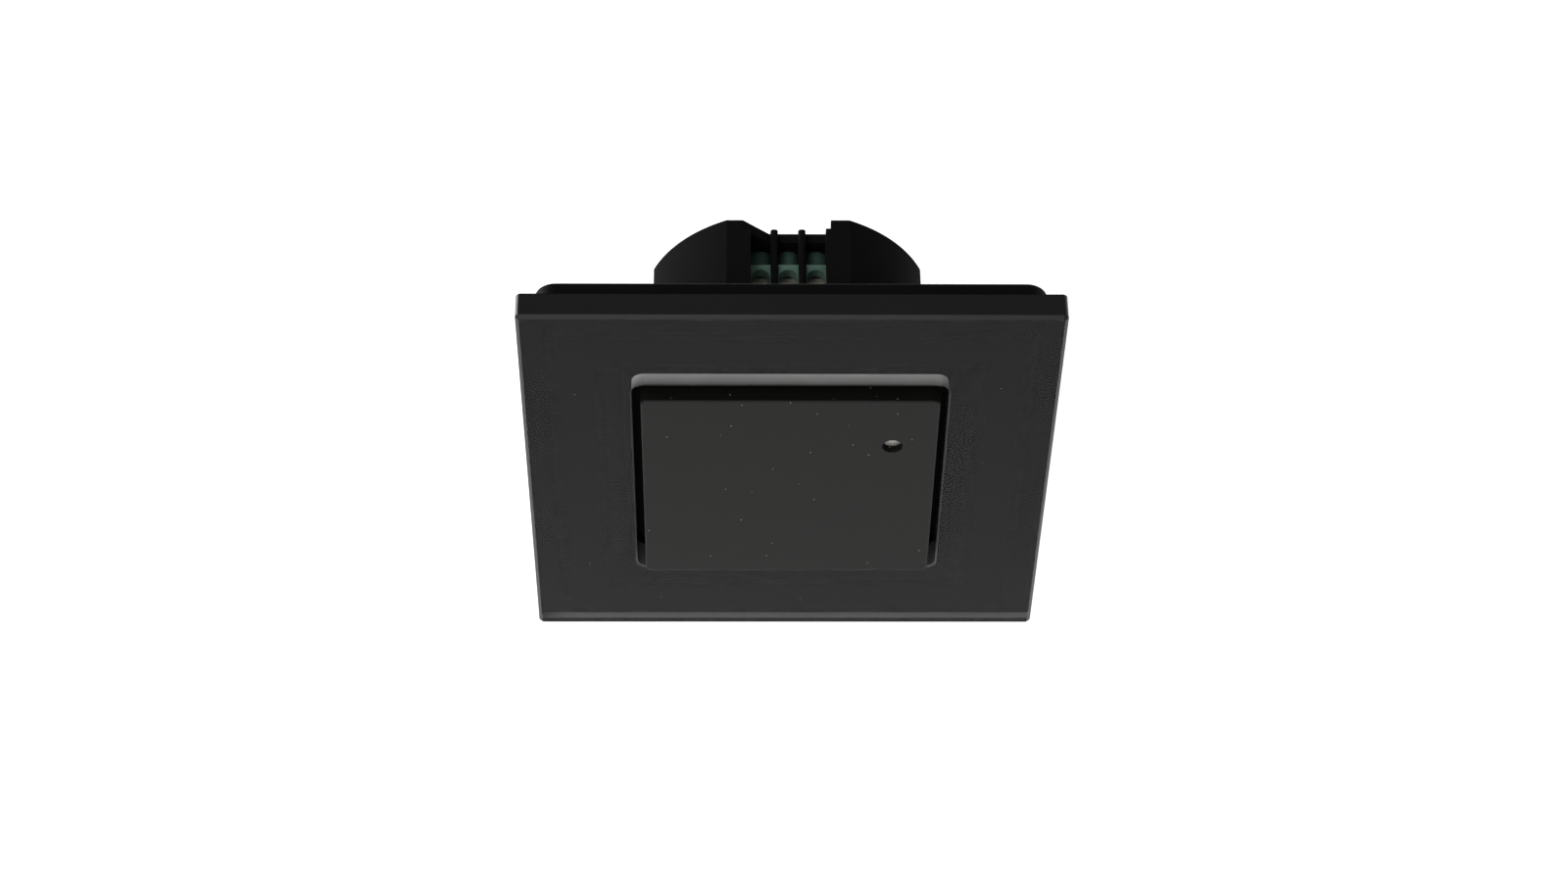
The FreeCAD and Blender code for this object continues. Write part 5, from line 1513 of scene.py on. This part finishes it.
    def add_camera(self) -> None:
        """Adds the camera that was fitted to the glass panel's corners in the photograph."""
        azimuth, elevation, roll = (
            math.radians(angle) for angle in (self.azimuth_deg, self.elevation_deg, self.roll_deg))
        back = Vector((math.sin(azimuth) * math.cos(elevation), -math.cos(azimuth) * math.cos(elevation),
                       math.sin(elevation)))
        right = Vector((math.cos(azimuth), math.sin(azimuth), 0))
        up = back.cross(right)
        across = right * math.cos(roll) + up * math.sin(roll)
        upright = up * math.cos(roll) - right * math.sin(roll)
        data = bpy.data.cameras.new("photo_camera")
        data.sensor_width = 36.0
        data.lens = self.focal_px / PHOTO_WIDTH_PX * data.sensor_width
        data.clip_start = 0.01
        camera = bpy.data.objects.new("photo_camera", data)
        place = Vector(self.aim_mm) * MM + back * self.distance_mm * MM
        turn = Matrix((across, upright, back)).transposed().to_4x4()
        camera.matrix_world = Matrix.Translation(place) @ turn
        bpy.context.scene.collection.objects.link(camera)
        bpy.context.scene.camera = camera


@dataclass(frozen=True)
class MotionSensor:
    """The whole object: finishes on the CAD nodes, and the small pieces of every sub-assembly.

    Attributes:
        clips: Hooks of the panel's prongs.
        beads: Beads of the mounting plate.
        gap_shade: Foam lip round the flange, a dark piece put in as painted shade for the gap beside the
            cover.
        leads: Leads of the controller.
        caps: Caps of the small chips.
        tabs: Tabs of the trimmers.
        link: Joints of the link's pins.
        joints: Joints of the light sensor and the lamp.
    """

    clips: PanelClips = PanelClips()
    beads: PlateBeads = PlateBeads()
    gap_shade: GapShadeLip = GapShadeLip()
    leads: FlatPackLeads = FlatPackLeads()
    caps: ChipCaps = ChipCaps()
    tabs: TrimmerTabs = TrimmerTabs()
    link: LinkJoints = LinkJoints()
    joints: SensorJoints = SensorJoints()

    def build(self) -> None:
        """Dresses every node and builds every small piece."""
        self.dress_nodes()
        for part in (self.clips, self.beads, self.gap_shade, self.leads, self.caps, self.tabs, self.link,
                     self.joints):
            part.build()

    @staticmethod
    def dress_nodes() -> None:
        """Gives each CAD node the material that the real piece is made of."""
        for name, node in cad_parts.items():
            finish = NODE_FINISHES[name]
            node.data.materials.clear()
            node.data.materials.append(finish.material())
            LOG.info("node %s: %s", name, finish.name)


def main() -> None:
    """Builds the object and the studio round it."""
    logging.basicConfig(level=logging.INFO, format="%(message)s")
    bpy.context.scene.view_settings.view_transform = "Standard"
    MotionSensor().build()
    Studio().build()


if __name__ == "__main__":
    main()
